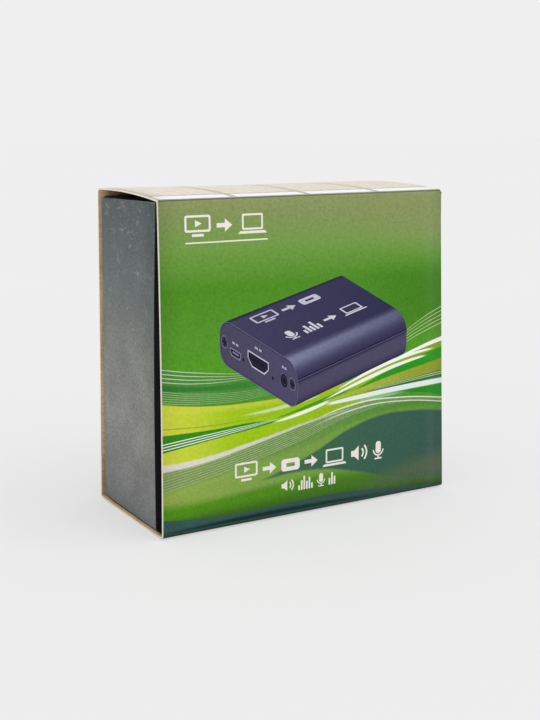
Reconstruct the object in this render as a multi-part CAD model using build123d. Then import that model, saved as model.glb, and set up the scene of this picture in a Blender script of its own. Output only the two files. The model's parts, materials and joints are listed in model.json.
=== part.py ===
from build123d import *
import os

# A boxed video capture adapter, in millimetres. The carton stands on its long edge.
# +X runs along the printed front panel, +Y goes to the back, +Z is up, and the origin is under
# the middle of the carton, on the surface that it stands on.

# Clearances that several pieces share
slide_gap = 0.3
seat_gap = 0.25
port_gap = 0.15
pin_gap = 0.05
overrun = 1.0

# Carton
carton_width = 120.0
carton_depth = 56.5
panel_height = 115.5
board = 0.6
crease_radius = 0.9
bottom_bow = 1.2
standing_strip = 24.0
side_bow = 0.9
crown = 1.0
back_lift = 2.0
glue_lap = 14.0

# Slide tray
tray_inset = 1.5
tray_board = 0.6
tray_crease = 0.8

# Card insert
insert_board = 0.5
deck_set_back = 1.2
pocket_margin = 7.6
bay_width = 100.0
finger_slot_width = 24.0
finger_slot_depth = 14.0

# Capture device, lying in the insert with its top to the front
device_length = 70.0
device_width = 54.0
device_height = 20.0
device_top_radius = 7.0
device_low_radius = 5.0
shell_wall = 1.5
end_plate = 1.5
plate_edge = 0.3

# Circuit board of the device
circuit_thickness = 1.6
circuit_side_gap = 0.5
circuit_end_gap = 0.3
circuit_stand = 2.5


def block(low, high):
    """A box from its lowest to its highest corner."""
    size = [b - a for a, b in zip(low, high)]
    middle = [(a + b) / 2 for a, b in zip(low, high)]
    return Pos(*middle) * Box(*size)


# Outer sleeve

def carton_outline(inset):
    """The carton's cross section, drawn in from the outside of the board by an inset."""
    half = carton_depth / 2 - inset
    strip = standing_strip / 2
    low = inset
    corner = bottom_bow + inset
    front_top = bottom_bow + panel_height - inset
    back_top = front_top + back_lift
    base = Line((-strip, low), (strip, low))
    back_base = TangentArc((strip, low), (half, corner), tangent=(1, 0))
    front_base = TangentArc((-strip, low), (-half, corner), tangent=(-1, 0))
    back = ThreePointArc((half, corner), (half + side_bow, (corner + back_top) / 2), (half, back_top))
    front = ThreePointArc((-half, corner), (-half - side_bow, (corner + front_top) / 2), (-half, front_top))
    top_middle = (front_top + back_top) / 2 + crown
    top = ThreePointArc((half, back_top), (0, top_middle), (-half, front_top))
    face = make_face([base, back_base, back, top, front, front_base])
    corners = face.vertices().filter_by(lambda v: abs(v.X) > half - pin_gap)
    return fillet(corners, crease_radius + board - inset)


def carton_body(inset, length):
    """A solid bar of the carton's section, centred along X."""
    section = Pos(-length / 2, 0, 0) * (Plane.YZ * carton_outline(inset))
    return extrude(section, length)


def outer_sleeve():
    """One creased board tube, open at both ends, with its glue lap inside the back panel."""
    inside = carton_body(board, carton_width + 2 * overrun)
    tube = carton_body(0, carton_width) - inside
    lap_ring = carton_body(board, carton_width) - carton_body(2 * board, carton_width + 2 * overrun)
    lap_low = bottom_bow + board + crease_radius
    lap_zone = block(
        (-carton_width / 2, 0, lap_low),
        (carton_width / 2, carton_depth, lap_low + glue_lap),
    )
    return tube + (lap_ring & lap_zone)


# Slide tray, which is open towards the front panel

tray_half = carton_width / 2 - tray_inset
tray_front = -(carton_depth / 2 - board - slide_gap)
tray_back = carton_depth / 2 - 2 * board - slide_gap
tray_low = bottom_bow + board + slide_gap
tray_high = bottom_bow + panel_height - board - slide_gap
tray_floor = tray_back - tray_board


def slide_tray():
    """A folded card drawer. Its two end walls are doubled over, so their rims are round folds."""
    outer = block((-tray_half, tray_front, tray_low), (tray_half, tray_back, tray_high))
    upright = outer.edges().filter_by(Axis.Y)
    back_edges = outer.faces().sort_by(Axis.Y)[-1].edges()
    outer = fillet(upright + back_edges, tray_crease)
    end_wall = 2 * tray_board
    cavity = block(
        (-tray_half + end_wall, tray_front - overrun, tray_low + tray_board),
        (tray_half - end_wall, tray_floor, tray_high - tray_board),
    )
    rim_radius = tray_board / 2
    tray = outer - cavity
    tray = fillet(tray.faces().sort_by(Axis.Y)[0].outer_wire().edges(), rim_radius)
    folds = tray.faces().sort_by(Axis.Y)[0].inner_wires()[0].edges().filter_by(Axis.Z)
    return fillet(folds, tray_board)


# Card insert

insert_half = tray_half - 2 * tray_board - slide_gap
insert_low = tray_low + tray_board + slide_gap
insert_high = tray_high - tray_board - slide_gap
deck_front = tray_front + deck_set_back
deck_back = deck_front + insert_board
pocket_half_x = device_length / 2 + seat_gap
pocket_height = device_width + 2 * seat_gap
pocket_high = insert_high - pocket_margin
pocket_low = pocket_high - pocket_height
bay_low = insert_low + pocket_margin
bay_high = pocket_low - pocket_margin
pocket_floor = deck_front + device_height


def card_well(half_x, low, high, back):
    """The walls of a well in the insert, folded back from the edges of its window."""
    rim = insert_board
    around = block((-half_x - rim, deck_front, low - rim), (half_x + rim, back, high + rim))
    well = block((-half_x, deck_front - overrun, low), (half_x, back + overrun, high))
    return around - well


def insert_platform():
    """One white card: the deck, its skirt down to the tray floor, the pocket and the lead bay."""
    box = block((-insert_half, deck_front, insert_low), (insert_half, tray_floor, insert_high))
    hollow = block(
        (-insert_half + insert_board, deck_back, insert_low + insert_board),
        (insert_half - insert_board, tray_floor + overrun, insert_high - insert_board),
    )
    card = fillet(box.faces().sort_by(Axis.Y)[0].edges(), insert_board) - hollow
    windows = block(
        (-pocket_half_x, deck_front - overrun, pocket_low),
        (pocket_half_x, deck_back + overrun, pocket_high),
    )
    windows += block(
        (-bay_width / 2, deck_front - overrun, bay_low),
        (bay_width / 2, deck_back + overrun, bay_high),
    )
    card -= windows
    card += card_well(pocket_half_x, pocket_low, pocket_high, pocket_floor)
    card += card_well(bay_width / 2, bay_low, bay_high, tray_floor)
    card += block(
        (-pocket_half_x - insert_board, pocket_floor, pocket_low - insert_board),
        (pocket_half_x + insert_board, pocket_floor + insert_board, pocket_high + insert_board),
    )
    slot = block(
        (-finger_slot_width / 2, deck_front - overrun, bay_high - overrun),
        (finger_slot_width / 2, deck_front + finger_slot_depth, pocket_low + overrun),
    )
    return card - slot


# Capture device. Its pieces are drawn in a frame of their own, length along X, width along Y and
# thickness along Z from its middle, and then laid in the pocket with the top to the front.

device_place = Pos(0, deck_front + device_height / 2, (pocket_low + pocket_high) / 2) * Rot(90, 0, 0)
shell_length = device_length - 2 * end_plate
half_width = device_width / 2
half_height = device_height / 2
inner_side = half_width - shell_wall
inner_low = -half_height + shell_wall

seam_lip = 0.6
seam_lip_height = 1.4
seam_groove_height = 0.4
seam_groove_depth = 0.5

circuit_low = inner_low + circuit_stand
circuit_top = circuit_low + circuit_thickness
circuit_half_length = shell_length / 2 - circuit_end_gap
circuit_width = 2 * (inner_side - circuit_side_gap)
guide_depth = 1.6
guide_height = 1.0

screw_shank = 1.2
screw_length = 9.0
screw_head = 2.5
screw_head_depth = 1.3
channel_radius = 2.5
channel_inset = 2.0
channel_rise = 3.6
channel_seam_gap = 0.3
screw_side = inner_side - channel_inset
screw_z = circuit_top + channel_rise
seam_z = screw_z + channel_radius + channel_seam_gap
cross_width = 0.6
cross_length = 2.6
cross_depth = 0.8


def device_outline(inset):
    """The device's cross section, drawn in from its outside by an inset."""
    face = Plane.YZ * Rectangle(device_width - 2 * inset, device_height - 2 * inset)
    face = fillet(face.vertices().group_by(Axis.Z)[-1], device_top_radius - inset)
    return fillet(face.vertices().group_by(Axis.Z)[0], device_low_radius - inset)


def device_bar(inset, length):
    """A solid bar of the device's section, centred along X."""
    return extrude(Pos(-length / 2, 0, 0) * device_outline(inset), length)


def slab(low, high):
    """A slice right across the device between two heights."""
    reach = device_length + overrun
    return block((-reach, -device_width, low), (reach, device_width, high))


def device_wall():
    """The extruded wall all round, before it is parted at the seam."""
    return device_bar(0, shell_length) - device_bar(shell_wall, shell_length + 2 * overrun)


def lip_ring(outer_inset):
    """The ring inside the wall from which the seam's lip is taken."""
    hollow = device_bar(shell_wall + seam_lip, shell_length + 2 * overrun)
    return device_bar(outer_inset, shell_length) - hollow


def upper_shell():
    """The extruded half above the seam."""
    return device_wall() & slab(seam_z, device_height)


def lower_shell():
    """The extruded half below the seam, with its lip, card guides and screw channels."""
    shell = device_wall() & slab(-device_height, seam_z)
    groove = device_bar(-overrun, shell_length + 2 * overrun)
    groove -= device_bar(seam_groove_depth, shell_length + 2 * overrun)
    shell -= groove & slab(seam_z - seam_groove_height, seam_z + overrun)
    shell += lip_ring(shell_wall) & slab(seam_z - seam_lip_height, seam_z)
    shell += lip_ring(shell_wall + pin_gap) & slab(seam_z, seam_z + seam_lip_height)
    for side in (-1, 1):
        wall = side * (inner_side + shell_wall / 2)
        rib = side * (inner_side - guide_depth)
        near, far = sorted((wall, rib))
        for low in (circuit_low - pin_gap - guide_height, circuit_top + pin_gap):
            guide = block((-shell_length / 2, near, low), (shell_length / 2, far, low + guide_height))
            shell += guide & device_bar(shell_wall / 2, shell_length)
        place = Pos(0, side * screw_side, screw_z) * Rot(0, 90, 0)
        channel = place * Cylinder(channel_radius, shell_length)
        shell += channel & device_bar(shell_wall / 2, shell_length)
    for side in (-1, 1):
        place = Pos(0, side * screw_side, screw_z) * Rot(0, 90, 0)
        shell -= place * Cylinder(screw_shank + pin_gap, shell_length + 2 * overrun)
    return shell


# Ports and jacks. A port's place is its distance from the middle of the plate, as it is read
# from outside with the device's top up.

port_set_back = 0.3
port_metal = 0.4

video_width = 15.0
video_height = 6.0
video_depth = 11.5
video_corner_shares = ((-0.5, 0.5), (0.5, 0.5), (0.5, -0.1), (0.37, -0.5), (-0.37, -0.5), (-0.5, -0.1))
video_tongue_width = 11.4
video_tongue_thickness = 1.1
video_tongue_length = 7.6
video_contacts_above = 10
video_contacts_below = 9
video_contact_pitch = 1.0

power_width = 7.7
power_height = 4.0
power_depth = 9.0
power_corner_shares = ((-0.5, 0.5), (0.5, 0.5), (0.5, -0.05), (0.42, -0.5), (-0.42, -0.5), (-0.5, -0.05))
power_tongue_width = 4.6
power_tongue_thickness = 0.9
power_tongue_length = 5.6
power_contacts = 5
power_contact_pitch = 0.8

data_width = 13.2
data_height = 5.8
data_depth = 14.0
data_corner_shares = ((-0.5, 0.5), (0.5, 0.5), (0.5, -0.5), (-0.5, -0.5))
data_tongue_width = 11.0
data_tongue_thickness = 1.8
data_tongue_length = 9.0
data_contacts = 4
data_contact_pitch = 2.3

contact_width = 0.4
contact_thickness = 0.2
contact_end = 0.5

jack_length = 12.0
jack_width = 6.2
jack_height = 5.2
jack_bore = 1.8
jack_bore_depth = 10.0
jack_collar = 2.8
terminal_length = 1.6
terminal_reach = 0.9
terminal_height = 0.3
terminal_shares = (-0.3, 0.0, 0.3)

lamp_body_length = 3.0
lamp_body_width = 2.6
lamp_lens = 0.9
lamp_rise = 1.5

video_input_share = -0.017
power_port_share = -0.316
mic_jack_share = 0.311
lamp_shares = (-0.205, 0.168)
video_output_share = 0.083
data_port_share = -0.226
audio_jack_share = 0.315

input_side = -1
output_side = 1
port_front = device_length / 2 - port_set_back


def port_frame(side, share, rise):
    """A frame at a port's mouth: X runs out of the device, Y across it and Z up."""
    turn = Rot(0, 0, 0) if side == output_side else Rot(0, 0, 180)
    return turn * Pos(port_front, share * device_width, circuit_top + rise)


def corner_face(width, height, corners, grow):
    """The section of a port, from the shares of its width and height, grown all round."""
    points = [(width * a, height * b) for a, b in corners]
    face = Plane.YZ * make_face(Polyline(*points, close=True))
    return offset(face, grow, kind=Kind.INTERSECTION)


def port_shell(size, depth, corners):
    """A folded metal shell, open at its mouth and closed at the back by the insulator."""
    width, height = size
    outside = extrude(corner_face(width, height, corners, 0), -depth)
    inside = extrude(corner_face(width, height, corners, -port_metal), -depth)
    return outside - inside


def port_insulator(size, depth, corners, tongue):
    """The moulded block at the back of a port, with the tongue that carries the contacts."""
    width, height = size
    tongue_width, tongue_thickness, tongue_length = tongue
    back = Pos(-depth, 0, 0) * corner_face(width, height, corners, -port_metal - pin_gap)
    block_depth = depth - tongue_length - contact_end
    plug = extrude(back, block_depth)
    front = -depth + block_depth
    plate = block(
        (front, -tongue_width / 2, -tongue_thickness / 2),
        (front + tongue_length, tongue_width / 2, tongue_thickness / 2),
    )
    return plug + plate


def port_contacts(depth, tongue, rows, pitch):
    """The contacts along a tongue, as separate strips in rows above and below it."""
    tongue_length = tongue[2]
    face = tongue[1] / 2
    front = -contact_end - contact_end
    back = front - tongue_length + contact_end
    strips = []
    for count, up in rows:
        low, high = sorted((up * face, up * (face + contact_thickness)))
        for i in range(count):
            middle = (i - (count - 1) / 2) * pitch
            strips.append(block(
                (back, middle - contact_width / 2, low),
                (front, middle + contact_width / 2, high),
            ))
    return strips


video_size = (video_width, video_height)
video_tongue = (video_tongue_width, video_tongue_thickness, video_tongue_length)
video_rows = ((video_contacts_above, 1), (video_contacts_below, -1))
power_size = (power_width, power_height)
power_tongue = (power_tongue_width, power_tongue_thickness, power_tongue_length)
power_rows = ((power_contacts, 1),)
data_size = (data_width, data_height)
data_tongue = (data_tongue_width, data_tongue_thickness, data_tongue_length)
data_rows = ((data_contacts, -1),)

# Each port: its name, side, place, size, depth, section, tongue, rows of contacts and their pitch
ports = (
    ("video_input", input_side, video_input_share, video_size, video_depth, video_corner_shares,
     video_tongue, video_rows, video_contact_pitch),
    ("video_output", output_side, video_output_share, video_size, video_depth, video_corner_shares,
     video_tongue, video_rows, video_contact_pitch),
    ("power_port", input_side, power_port_share, power_size, power_depth, power_corner_shares,
     power_tongue, power_rows, power_contact_pitch),
    ("data_port", output_side, data_port_share, data_size, data_depth, data_corner_shares,
     data_tongue, data_rows, data_contact_pitch),
)

jacks = (("mic_jack", input_side, mic_jack_share), ("audio_jack", output_side, audio_jack_share))


def jack_body():
    """A moulded jack: a block on the board, and a collar that reaches into the end plate."""
    front = port_set_back - end_plate - port_gap
    body = block(
        (front - jack_length, -jack_width / 2, -jack_height / 2),
        (front, jack_width / 2, jack_height / 2),
    )
    body += Pos(front / 2, 0, 0) * Rot(0, 90, 0) * Cylinder(jack_collar, -front)
    bore = Pos(-jack_bore_depth / 2, 0, 0) * Rot(0, 90, 0)
    return body - bore * Cylinder(jack_bore, jack_bore_depth + overrun)


def jack_terminals():
    """Solder terminals on the board, along both sides of a jack."""
    front = port_set_back - end_plate - port_gap
    solids = []
    for side in (-1, 1):
        near, far = sorted((side * jack_width / 2, side * (jack_width / 2 + terminal_reach)))
        for share in terminal_shares:
            middle = front - jack_length / 2 + share * jack_length
            solids.append(block(
                (middle - terminal_length / 2, near, -jack_height / 2),
                (middle + terminal_length / 2, far, -jack_height / 2 + terminal_height),
            ))
    return solids


def indicator_lamps():
    """Two small lamps on the board, each with a lens that reaches into the end plate."""
    solids = []
    for share in lamp_shares:
        front = port_set_back - end_plate - port_gap
        lamp = block(
            (front - lamp_body_length, -lamp_body_width / 2, -lamp_rise),
            (front, lamp_body_width / 2, lamp_rise),
        )
        lamp += Pos(front / 2, 0, 0) * Rot(0, 90, 0) * Cylinder(lamp_lens, -front)
        solids.append(port_frame(input_side, share, lamp_rise) * lamp)
    return solids


# End plates and their screws

def screw_solid():
    """A countersunk cross-head screw along X, with its head's face at zero."""
    screw = Pos(-screw_head_depth / 2, 0, 0) * Rot(0, 90, 0) * Cone(screw_shank, screw_head, screw_head_depth)
    shank = screw_length - screw_head_depth
    screw += Pos(-screw_head_depth - shank / 2, 0, 0) * Rot(0, 90, 0) * Cylinder(screw_shank, shank)
    for size in ((cross_length, cross_width), (cross_width, cross_length)):
        screw -= Pos(-cross_depth / 2 + overrun / 2, 0, 0) * Box(cross_depth + overrun, *size)
    return screw


def screw_hole():
    """The countersunk hole of an end plate, along X, with the plate's face at zero."""
    wide = screw_head + pin_gap
    narrow = screw_shank + pin_gap
    hole = Pos(-screw_head_depth / 2, 0, 0) * Rot(0, 90, 0) * Cone(narrow, wide, screw_head_depth)
    hole += Rot(0, 90, 0) * Cylinder(narrow, 2 * end_plate + 2 * overrun)
    return hole


def screw_frames(side):
    """The frames of an end plate's two screws, with X running out of the device."""
    turn = Rot(0, 0, 0) if side == output_side else Rot(0, 0, 180)
    return [turn * Pos(device_length / 2, across, screw_z) for across in (-screw_side, screw_side)]


def end_plate_solid(side):
    """A plate that closes one end, cut out for its ports, jack, lamps and screws."""
    turn = Rot(0, 0, 0) if side == output_side else Rot(0, 0, 180)
    bar = extrude(Pos(shell_length / 2, 0, 0) * device_outline(0), end_plate)
    bar = chamfer(bar.faces().sort_by(Axis.X)[-1].edges(), plate_edge)
    plate = turn * bar
    for name, port_side, share, size, depth, corners, tongue, rows, pitch in ports:
        if port_side == side:
            section = corner_face(*size, corners, port_gap)
            cut = extrude(Pos(overrun, 0, 0) * section, -end_plate - 2 * overrun)
            plate -= port_frame(side, share, size[1] / 2) * cut
    for name, jack_side, share in jacks:
        if jack_side == side:
            hole = Rot(0, 90, 0) * Cylinder(jack_collar + port_gap, 2 * end_plate + 2 * overrun)
            plate -= port_frame(side, share, jack_height / 2) * hole
    if side == input_side:
        for share in lamp_shares:
            hole = Rot(0, 90, 0) * Cylinder(lamp_lens + port_gap, 2 * end_plate + 2 * overrun)
            plate -= port_frame(side, share, lamp_rise) * hole
    for frame in screw_frames(side):
        plate -= frame * screw_hole()
    return plate


def end_plate_screws():
    """The four screws that hold both end plates."""
    return [frame * screw_solid() for side in (input_side, output_side) for frame in screw_frames(side)]


# Circuit board and what is soldered to it

def circuit_board():
    """The bare board, held by the card guides of the lower shell."""
    return block(
        (-circuit_half_length, -circuit_width / 2, circuit_low),
        (circuit_half_length, circuit_width / 2, circuit_top),
    )


# Each part on the board: its length, width and height, its edge radius, and where it sits, as
# shares of the board's length and width from the middle
receiver_chip_size = (10.0, 10.0, 0.9)
receiver_chip_shares = ((-0.16, -0.02),)
splitter_chip_size = (9.0, 9.0, 0.9)
splitter_chip_shares = ((0.16, -0.2),)
capture_chip_size = (12.0, 12.0, 1.4)
capture_chip_shares = ((0.1, 0.16),)
audio_chip_size = (5.0, 5.0, 0.9)
audio_chip_shares = ((-0.17, 0.34),)
memory_chip_size = (5.0, 4.0, 1.5)
memory_chip_shares = ((-0.04, 0.36), (0.08, 0.36))
regulator_size = (2.9, 1.6, 1.1)
regulator_shares = ((-0.22, -0.4), (-0.14, -0.4), (-0.06, -0.4))
crystal_size = (5.0, 3.2, 1.1)
crystal_shares = ((-0.08, 0.24), (-0.02, -0.2))
inductor_size = (4.0, 4.0, 1.8)
inductor_shares = ((-0.22, -0.27), (-0.13, -0.27))
bulk_capacitor_size = (3.5, 2.8, 1.9)
bulk_capacitor_shares = ((0.03, -0.38), (0.1, -0.38), (-0.05, -0.3))
protection_size = (2.5, 1.0, 0.5)
protection_shares = ((-0.29, -0.04), (-0.29, 0.06), (0.29, -0.02), (0.29, 0.1))
capacitor_size = (1.6, 0.8, 0.8)
capacitor_row_shares = ((0.0, 0.02), (0.0, -0.06), (-0.22, 0.12))
capacitor_columns = 5
resistor_size = (1.6, 0.8, 0.45)
resistor_row_shares = ((-0.22, 0.2), (0.14, 0.36))
resistor_columns = 4
row_pitch_share = 0.034
chip_edge = 0.15


def board_parts(size, shares):
    """Solids of one kind on the board, one for each place."""
    length, width, height = size
    part = block((-length / 2, -width / 2, 0), (length / 2, width / 2, height))
    part = chamfer(part.faces().sort_by(Axis.Z)[-1].edges(), chip_edge)
    solids = []
    for along, across in shares:
        place = Pos(along * 2 * circuit_half_length, across * circuit_width, circuit_top)
        solids.append(place * part)
    return solids


def row_places(row_shares, columns):
    """The places of small parts in short rows along the board's width."""
    return [
        (along + column * row_pitch_share, across)
        for along, across in row_shares
        for column in range(columns)
    ]


board_kinds = {
    "receiver_chip": (receiver_chip_size, receiver_chip_shares),
    "splitter_chip": (splitter_chip_size, splitter_chip_shares),
    "capture_chip": (capture_chip_size, capture_chip_shares),
    "audio_chip": (audio_chip_size, audio_chip_shares),
    "memory_chips": (memory_chip_size, memory_chip_shares),
    "voltage_regulators": (regulator_size, regulator_shares),
    "crystal_cans": (crystal_size, crystal_shares),
    "power_inductors": (inductor_size, inductor_shares),
    "bulk_capacitors": (bulk_capacitor_size, bulk_capacitor_shares),
    "protection_arrays": (protection_size, protection_shares),
    "ceramic_capacitors": (capacitor_size, row_places(capacitor_row_shares, capacitor_columns)),
    "chip_resistors": (resistor_size, row_places(resistor_row_shares, resistor_columns)),
}

thermal_pad_length = 26.0
thermal_pad_width = 24.0


def thermal_pad():
    """The soft pad that carries the chips' heat from the board to the lower shell."""
    return block(
        (-thermal_pad_length / 2, -thermal_pad_width / 2, inner_low),
        (thermal_pad_length / 2, thermal_pad_width / 2, circuit_low),
    )


# All nodes

def carton_nodes():
    """The pieces of the carton, by name."""
    return {
        "outer_sleeve": outer_sleeve(),
        "slide_tray": slide_tray(),
        "insert_platform": insert_platform(),
    }


def device_nodes():
    """The pieces of the device in its own frame, by name."""
    nodes = {
        "upper_shell": upper_shell(),
        "lower_shell": lower_shell(),
        "input_end_plate": end_plate_solid(input_side),
        "output_end_plate": end_plate_solid(output_side),
        "end_plate_screws": end_plate_screws(),
        "circuit_board": circuit_board(),
        "indicator_lamps": indicator_lamps(),
        "thermal_pad": thermal_pad(),
    }
    for name, side, share, size, depth, corners, tongue, rows, pitch in ports:
        frame = port_frame(side, share, size[1] / 2)
        nodes[name + "_shell"] = frame * port_shell(size, depth, corners)
        nodes[name + "_insulator"] = frame * port_insulator(size, depth, corners, tongue)
        strips = port_contacts(depth, tongue, rows, pitch)
        nodes[name + "_contacts"] = [frame * strip for strip in strips]
    for name, side, share in jacks:
        frame = port_frame(side, share, jack_height / 2)
        nodes[name + "_body"] = frame * jack_body()
        nodes[name + "_terminals"] = [frame * terminal for terminal in jack_terminals()]
    for name, (size, shares) in board_kinds.items():
        nodes[name] = board_parts(size, shares)
    return nodes


def save(name, shape, place):
    """Write one node, with its separate solids side by side."""
    pieces = shape if isinstance(shape, list) else [shape]
    solids = [solid for piece in pieces for solid in (place * piece).solids()]
    whole = solids[0] if len(solids) == 1 else Compound(children=solids)
    whole.label = name
    export_step(whole, os.path.join("parts", name + ".step"))


os.makedirs("parts", exist_ok=True)
for node, made in carton_nodes().items():
    save(node, made, Pos(0, 0, 0))
for node, made in device_nodes().items():
    save(node, made, device_place)
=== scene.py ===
import json
import logging
import math
from collections.abc import Callable, Sequence
from dataclasses import dataclass, field
from enum import Enum
from functools import cached_property
from typing import Any

import bmesh
import bpy
from mathutils import Matrix, Vector


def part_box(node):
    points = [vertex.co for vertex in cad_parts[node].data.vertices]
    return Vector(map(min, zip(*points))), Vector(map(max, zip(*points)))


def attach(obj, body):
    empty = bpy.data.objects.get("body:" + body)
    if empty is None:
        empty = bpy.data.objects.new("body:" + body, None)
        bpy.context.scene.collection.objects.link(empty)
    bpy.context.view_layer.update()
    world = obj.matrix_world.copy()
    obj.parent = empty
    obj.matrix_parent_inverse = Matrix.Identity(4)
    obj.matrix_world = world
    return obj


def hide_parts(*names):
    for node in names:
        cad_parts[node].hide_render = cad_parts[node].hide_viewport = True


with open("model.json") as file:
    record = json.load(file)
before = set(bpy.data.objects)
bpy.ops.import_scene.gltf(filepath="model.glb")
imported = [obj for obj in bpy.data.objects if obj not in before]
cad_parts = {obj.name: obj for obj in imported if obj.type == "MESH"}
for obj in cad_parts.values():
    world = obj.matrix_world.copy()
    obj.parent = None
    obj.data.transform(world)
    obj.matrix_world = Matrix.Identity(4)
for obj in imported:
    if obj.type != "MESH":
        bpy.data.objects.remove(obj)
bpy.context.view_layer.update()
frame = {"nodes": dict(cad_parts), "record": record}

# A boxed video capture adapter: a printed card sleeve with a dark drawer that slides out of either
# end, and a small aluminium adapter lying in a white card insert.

MM = 0.001
# How near a place has to be to count as lying on an edge, in metres
CLOSE = 0.01 * MM
# The least part of a normal or direction that counts as lying along an axis
ALONG = 0.9
# A pitch in mm that is too long to repeat on the carton
FAR = 1000.0
# The stretch of Y, in mm, that the curve of the drawer's fold runs over
FOLD_ZERO = -28.0
FOLD_SPAN = 10.0
# What the satin film's own reflection adds to a printed colour, in linear light
SHEEN = 0.018
# Patches about 8 mm long and 1.4 mm high, which leave a row of bars uneven
BROKEN_ROW = (0.12, 0.7, 0.0)
# Settings that many nodes share: a mix of colours, one that only shades them, and a soft step
MIX = {"out": 2, "data_type": "RGBA"}
OVERLAY = MIX | {"blend_type": "OVERLAY"}
SOFT = {"interpolation_type": "SMOOTHSTEP"}
Point = tuple[float, float]
Colour = tuple[float, float, float, float]
Outline = Sequence[Point]
Test = Callable[[Vector, Vector], bool]
Push = Callable[[Vector], Vector]
log = logging.getLogger("carton")


def linear(code: str) -> Colour:
    """Turn an sRGB hex colour to linear light.

    Args:
        code: the colour, such as "#6d9a4c".

    Returns:
        Red, green, blue and a full alpha.
    """
    channels = [int(code[i:i + 2], 16) / 255 for i in (1, 3, 5)]
    red, green, blue = (c / 12.92 if c <= 0.04045 else ((c + 0.055) / 1.055) ** 2.4 for c in channels)
    return red, green, blue, 1.0


def under_film(code: str) -> Colour:
    """Turn a printed colour, as matched, to linear light without the film's own sheen.

    Args:
        code: the colour as it looks through the film.

    Returns:
        The ink's own red, green and blue, and a full alpha.
    """
    red, green, blue, alpha = linear(code)
    return max(red - SHEEN, 0.0), max(green - SHEEN, 0.0), max(blue - SHEEN, 0.0), alpha


# Materials

class Graph:
    """The nodes of one material or world. A material reads places on the object in millimetres."""

    def __init__(self, owner: bpy.types.Material | bpy.types.World) -> None:
        """Empty the nodes of a new material or world.

        Args:
            owner: the material or world.
        """
        owner.use_nodes = True
        self.owner = owner
        self.tree = owner.node_tree
        self.tree.nodes.clear()

    @cached_property
    def place(self) -> Any:
        """Where a point lies on the object, in mm."""
        spot = self.add("TexCoord", out="Object")
        return self.add("VectorMath", {0: spot, "Scale": 1 / MM}, operation="SCALE")

    def add(self, kind: str, inputs: dict | None = None, out: int | str = 0, **settings: Any) -> Any:
        """Add a node with its settings and links.

        Args:
            kind: the node's type, without the leading "ShaderNode".
            inputs: what goes into its sockets, each a value or another node's output.
            out: the output to return.
            settings: the node's own settings, with ramp or curve for lists of points.

        Returns:
            The chosen output, or None for a node without outputs.
        """
        node = self.tree.nodes.new("ShaderNode" + kind)
        ramp = settings.pop("ramp", ())
        curve = settings.pop("curve", ())
        for name, value in settings.items():
            setattr(node, name, value)
        for i, (position, colour) in enumerate(ramp):
            stops = node.color_ramp.elements
            stop = stops[i] if i < 2 else stops.new(position)
            stop.position = position
            stop.color = colour
        for i, (across, up) in enumerate(curve):
            points = node.mapping.curves[0].points
            if i < 2:
                points[i].location = (across, up)
            else:
                points.new(across, up)
        if curve:
            node.mapping.update()
        for key, value in (inputs or {}).items():
            if isinstance(value, bpy.types.NodeSocket):
                self.tree.links.new(value, node.inputs[key])
            else:
                node.inputs[key].default_value = value
        return node.outputs[out] if len(node.outputs) else None

    def close(self, shader: dict, relief: Any = None, depth: float = 0.0) -> bpy.types.Material:
        """Close the material with its surface shader.

        Args:
            shader: what goes into the shader's sockets.
            relief: the height pattern of its bump, from 0 to 1.
            depth: the height of that pattern in mm.

        Returns:
            The material.
        """
        if relief is not None:
            shader["Normal"] = self.add("Bump", {"Strength": 1.0, "Distance": depth * MM, "Height": relief})
        surface = self.add("BsdfPrincipled", shader)
        self.add("OutputMaterial", {"Surface": surface})
        return self.owner


class Lie(Enum):
    """The axis that a printed panel's height runs along."""

    UPRIGHT = "Z"
    LEVEL = "Y"


@dataclass(frozen=True)
class Panel:
    """Where a printed panel lies and how large it is, in mm."""

    lie: Lie
    low: Point
    size: Point


@dataclass(frozen=True)
class Band:
    """A stretch of ink between two curves, given in mm along and up the panel.

    With lines, it is that many fine strokes which fan out as the curves part. The cover runs along
    the panel's width, and a stretch ends where its curves cross.
    """

    low: Outline
    high: Outline
    start: str
    end: str
    blend: float = 0.5
    lines: int = 0
    stroke: float = 0.3
    cover: Outline = ((0, 1), (1, 1))

    def mask(self, graph: Graph, across: Any, up: Any, panel: Panel) -> Any:
        """Add the nodes that say how much of this ink lies at a place.

        Args:
            graph: the material.
            across: the place along the panel, as a share of its width.
            up: the place up the panel, as a share of its height.
            panel: the panel's place and size.

        Returns:
            The cover, from 0 to 1.
        """
        width, height = panel.size
        edges = []
        for points in (self.low, self.high):
            shares = [(x / width, y / height) for x, y in points]
            edges.append(graph.add("FloatCurve", {"Value": across}, curve=shares))
        above = graph.add("Math", {0: up, 1: edges[0]}, operation="SUBTRACT")
        below = graph.add("Math", {0: edges[1], 1: up}, operation="SUBTRACT")
        soft = self.blend / height
        rise = graph.add("MapRange", {0: above, 2: soft}, **SOFT)
        fall = graph.add("MapRange", {0: below, 2: soft}, **SOFT)
        cover = graph.add("Math", {0: rise, 1: fall}, operation="MULTIPLY")
        if self.lines:
            span = graph.add("Math", {0: edges[1], 1: edges[0]}, operation="SUBTRACT")
            part = graph.add("Math", {0: above, 1: span}, operation="DIVIDE")
            turn = graph.add("Math", {0: part, 1: float(self.lines)}, operation="MULTIPLY")
            wave = graph.add("Math", {0: turn, 1: 0.5}, operation="PINGPONG")
            edge = {0: wave, 1: 0.5 - self.stroke, 2: 0.5 - self.stroke / 2}
            strokes = graph.add("MapRange", edge, **SOFT)
            cover = graph.add("Math", {0: cover, 1: strokes}, operation="MULTIPLY")
        along = graph.add("FloatCurve", {"Value": across}, curve=self.cover)
        return graph.add("Math", {0: cover, 1: along}, operation="MULTIPLY")


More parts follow.
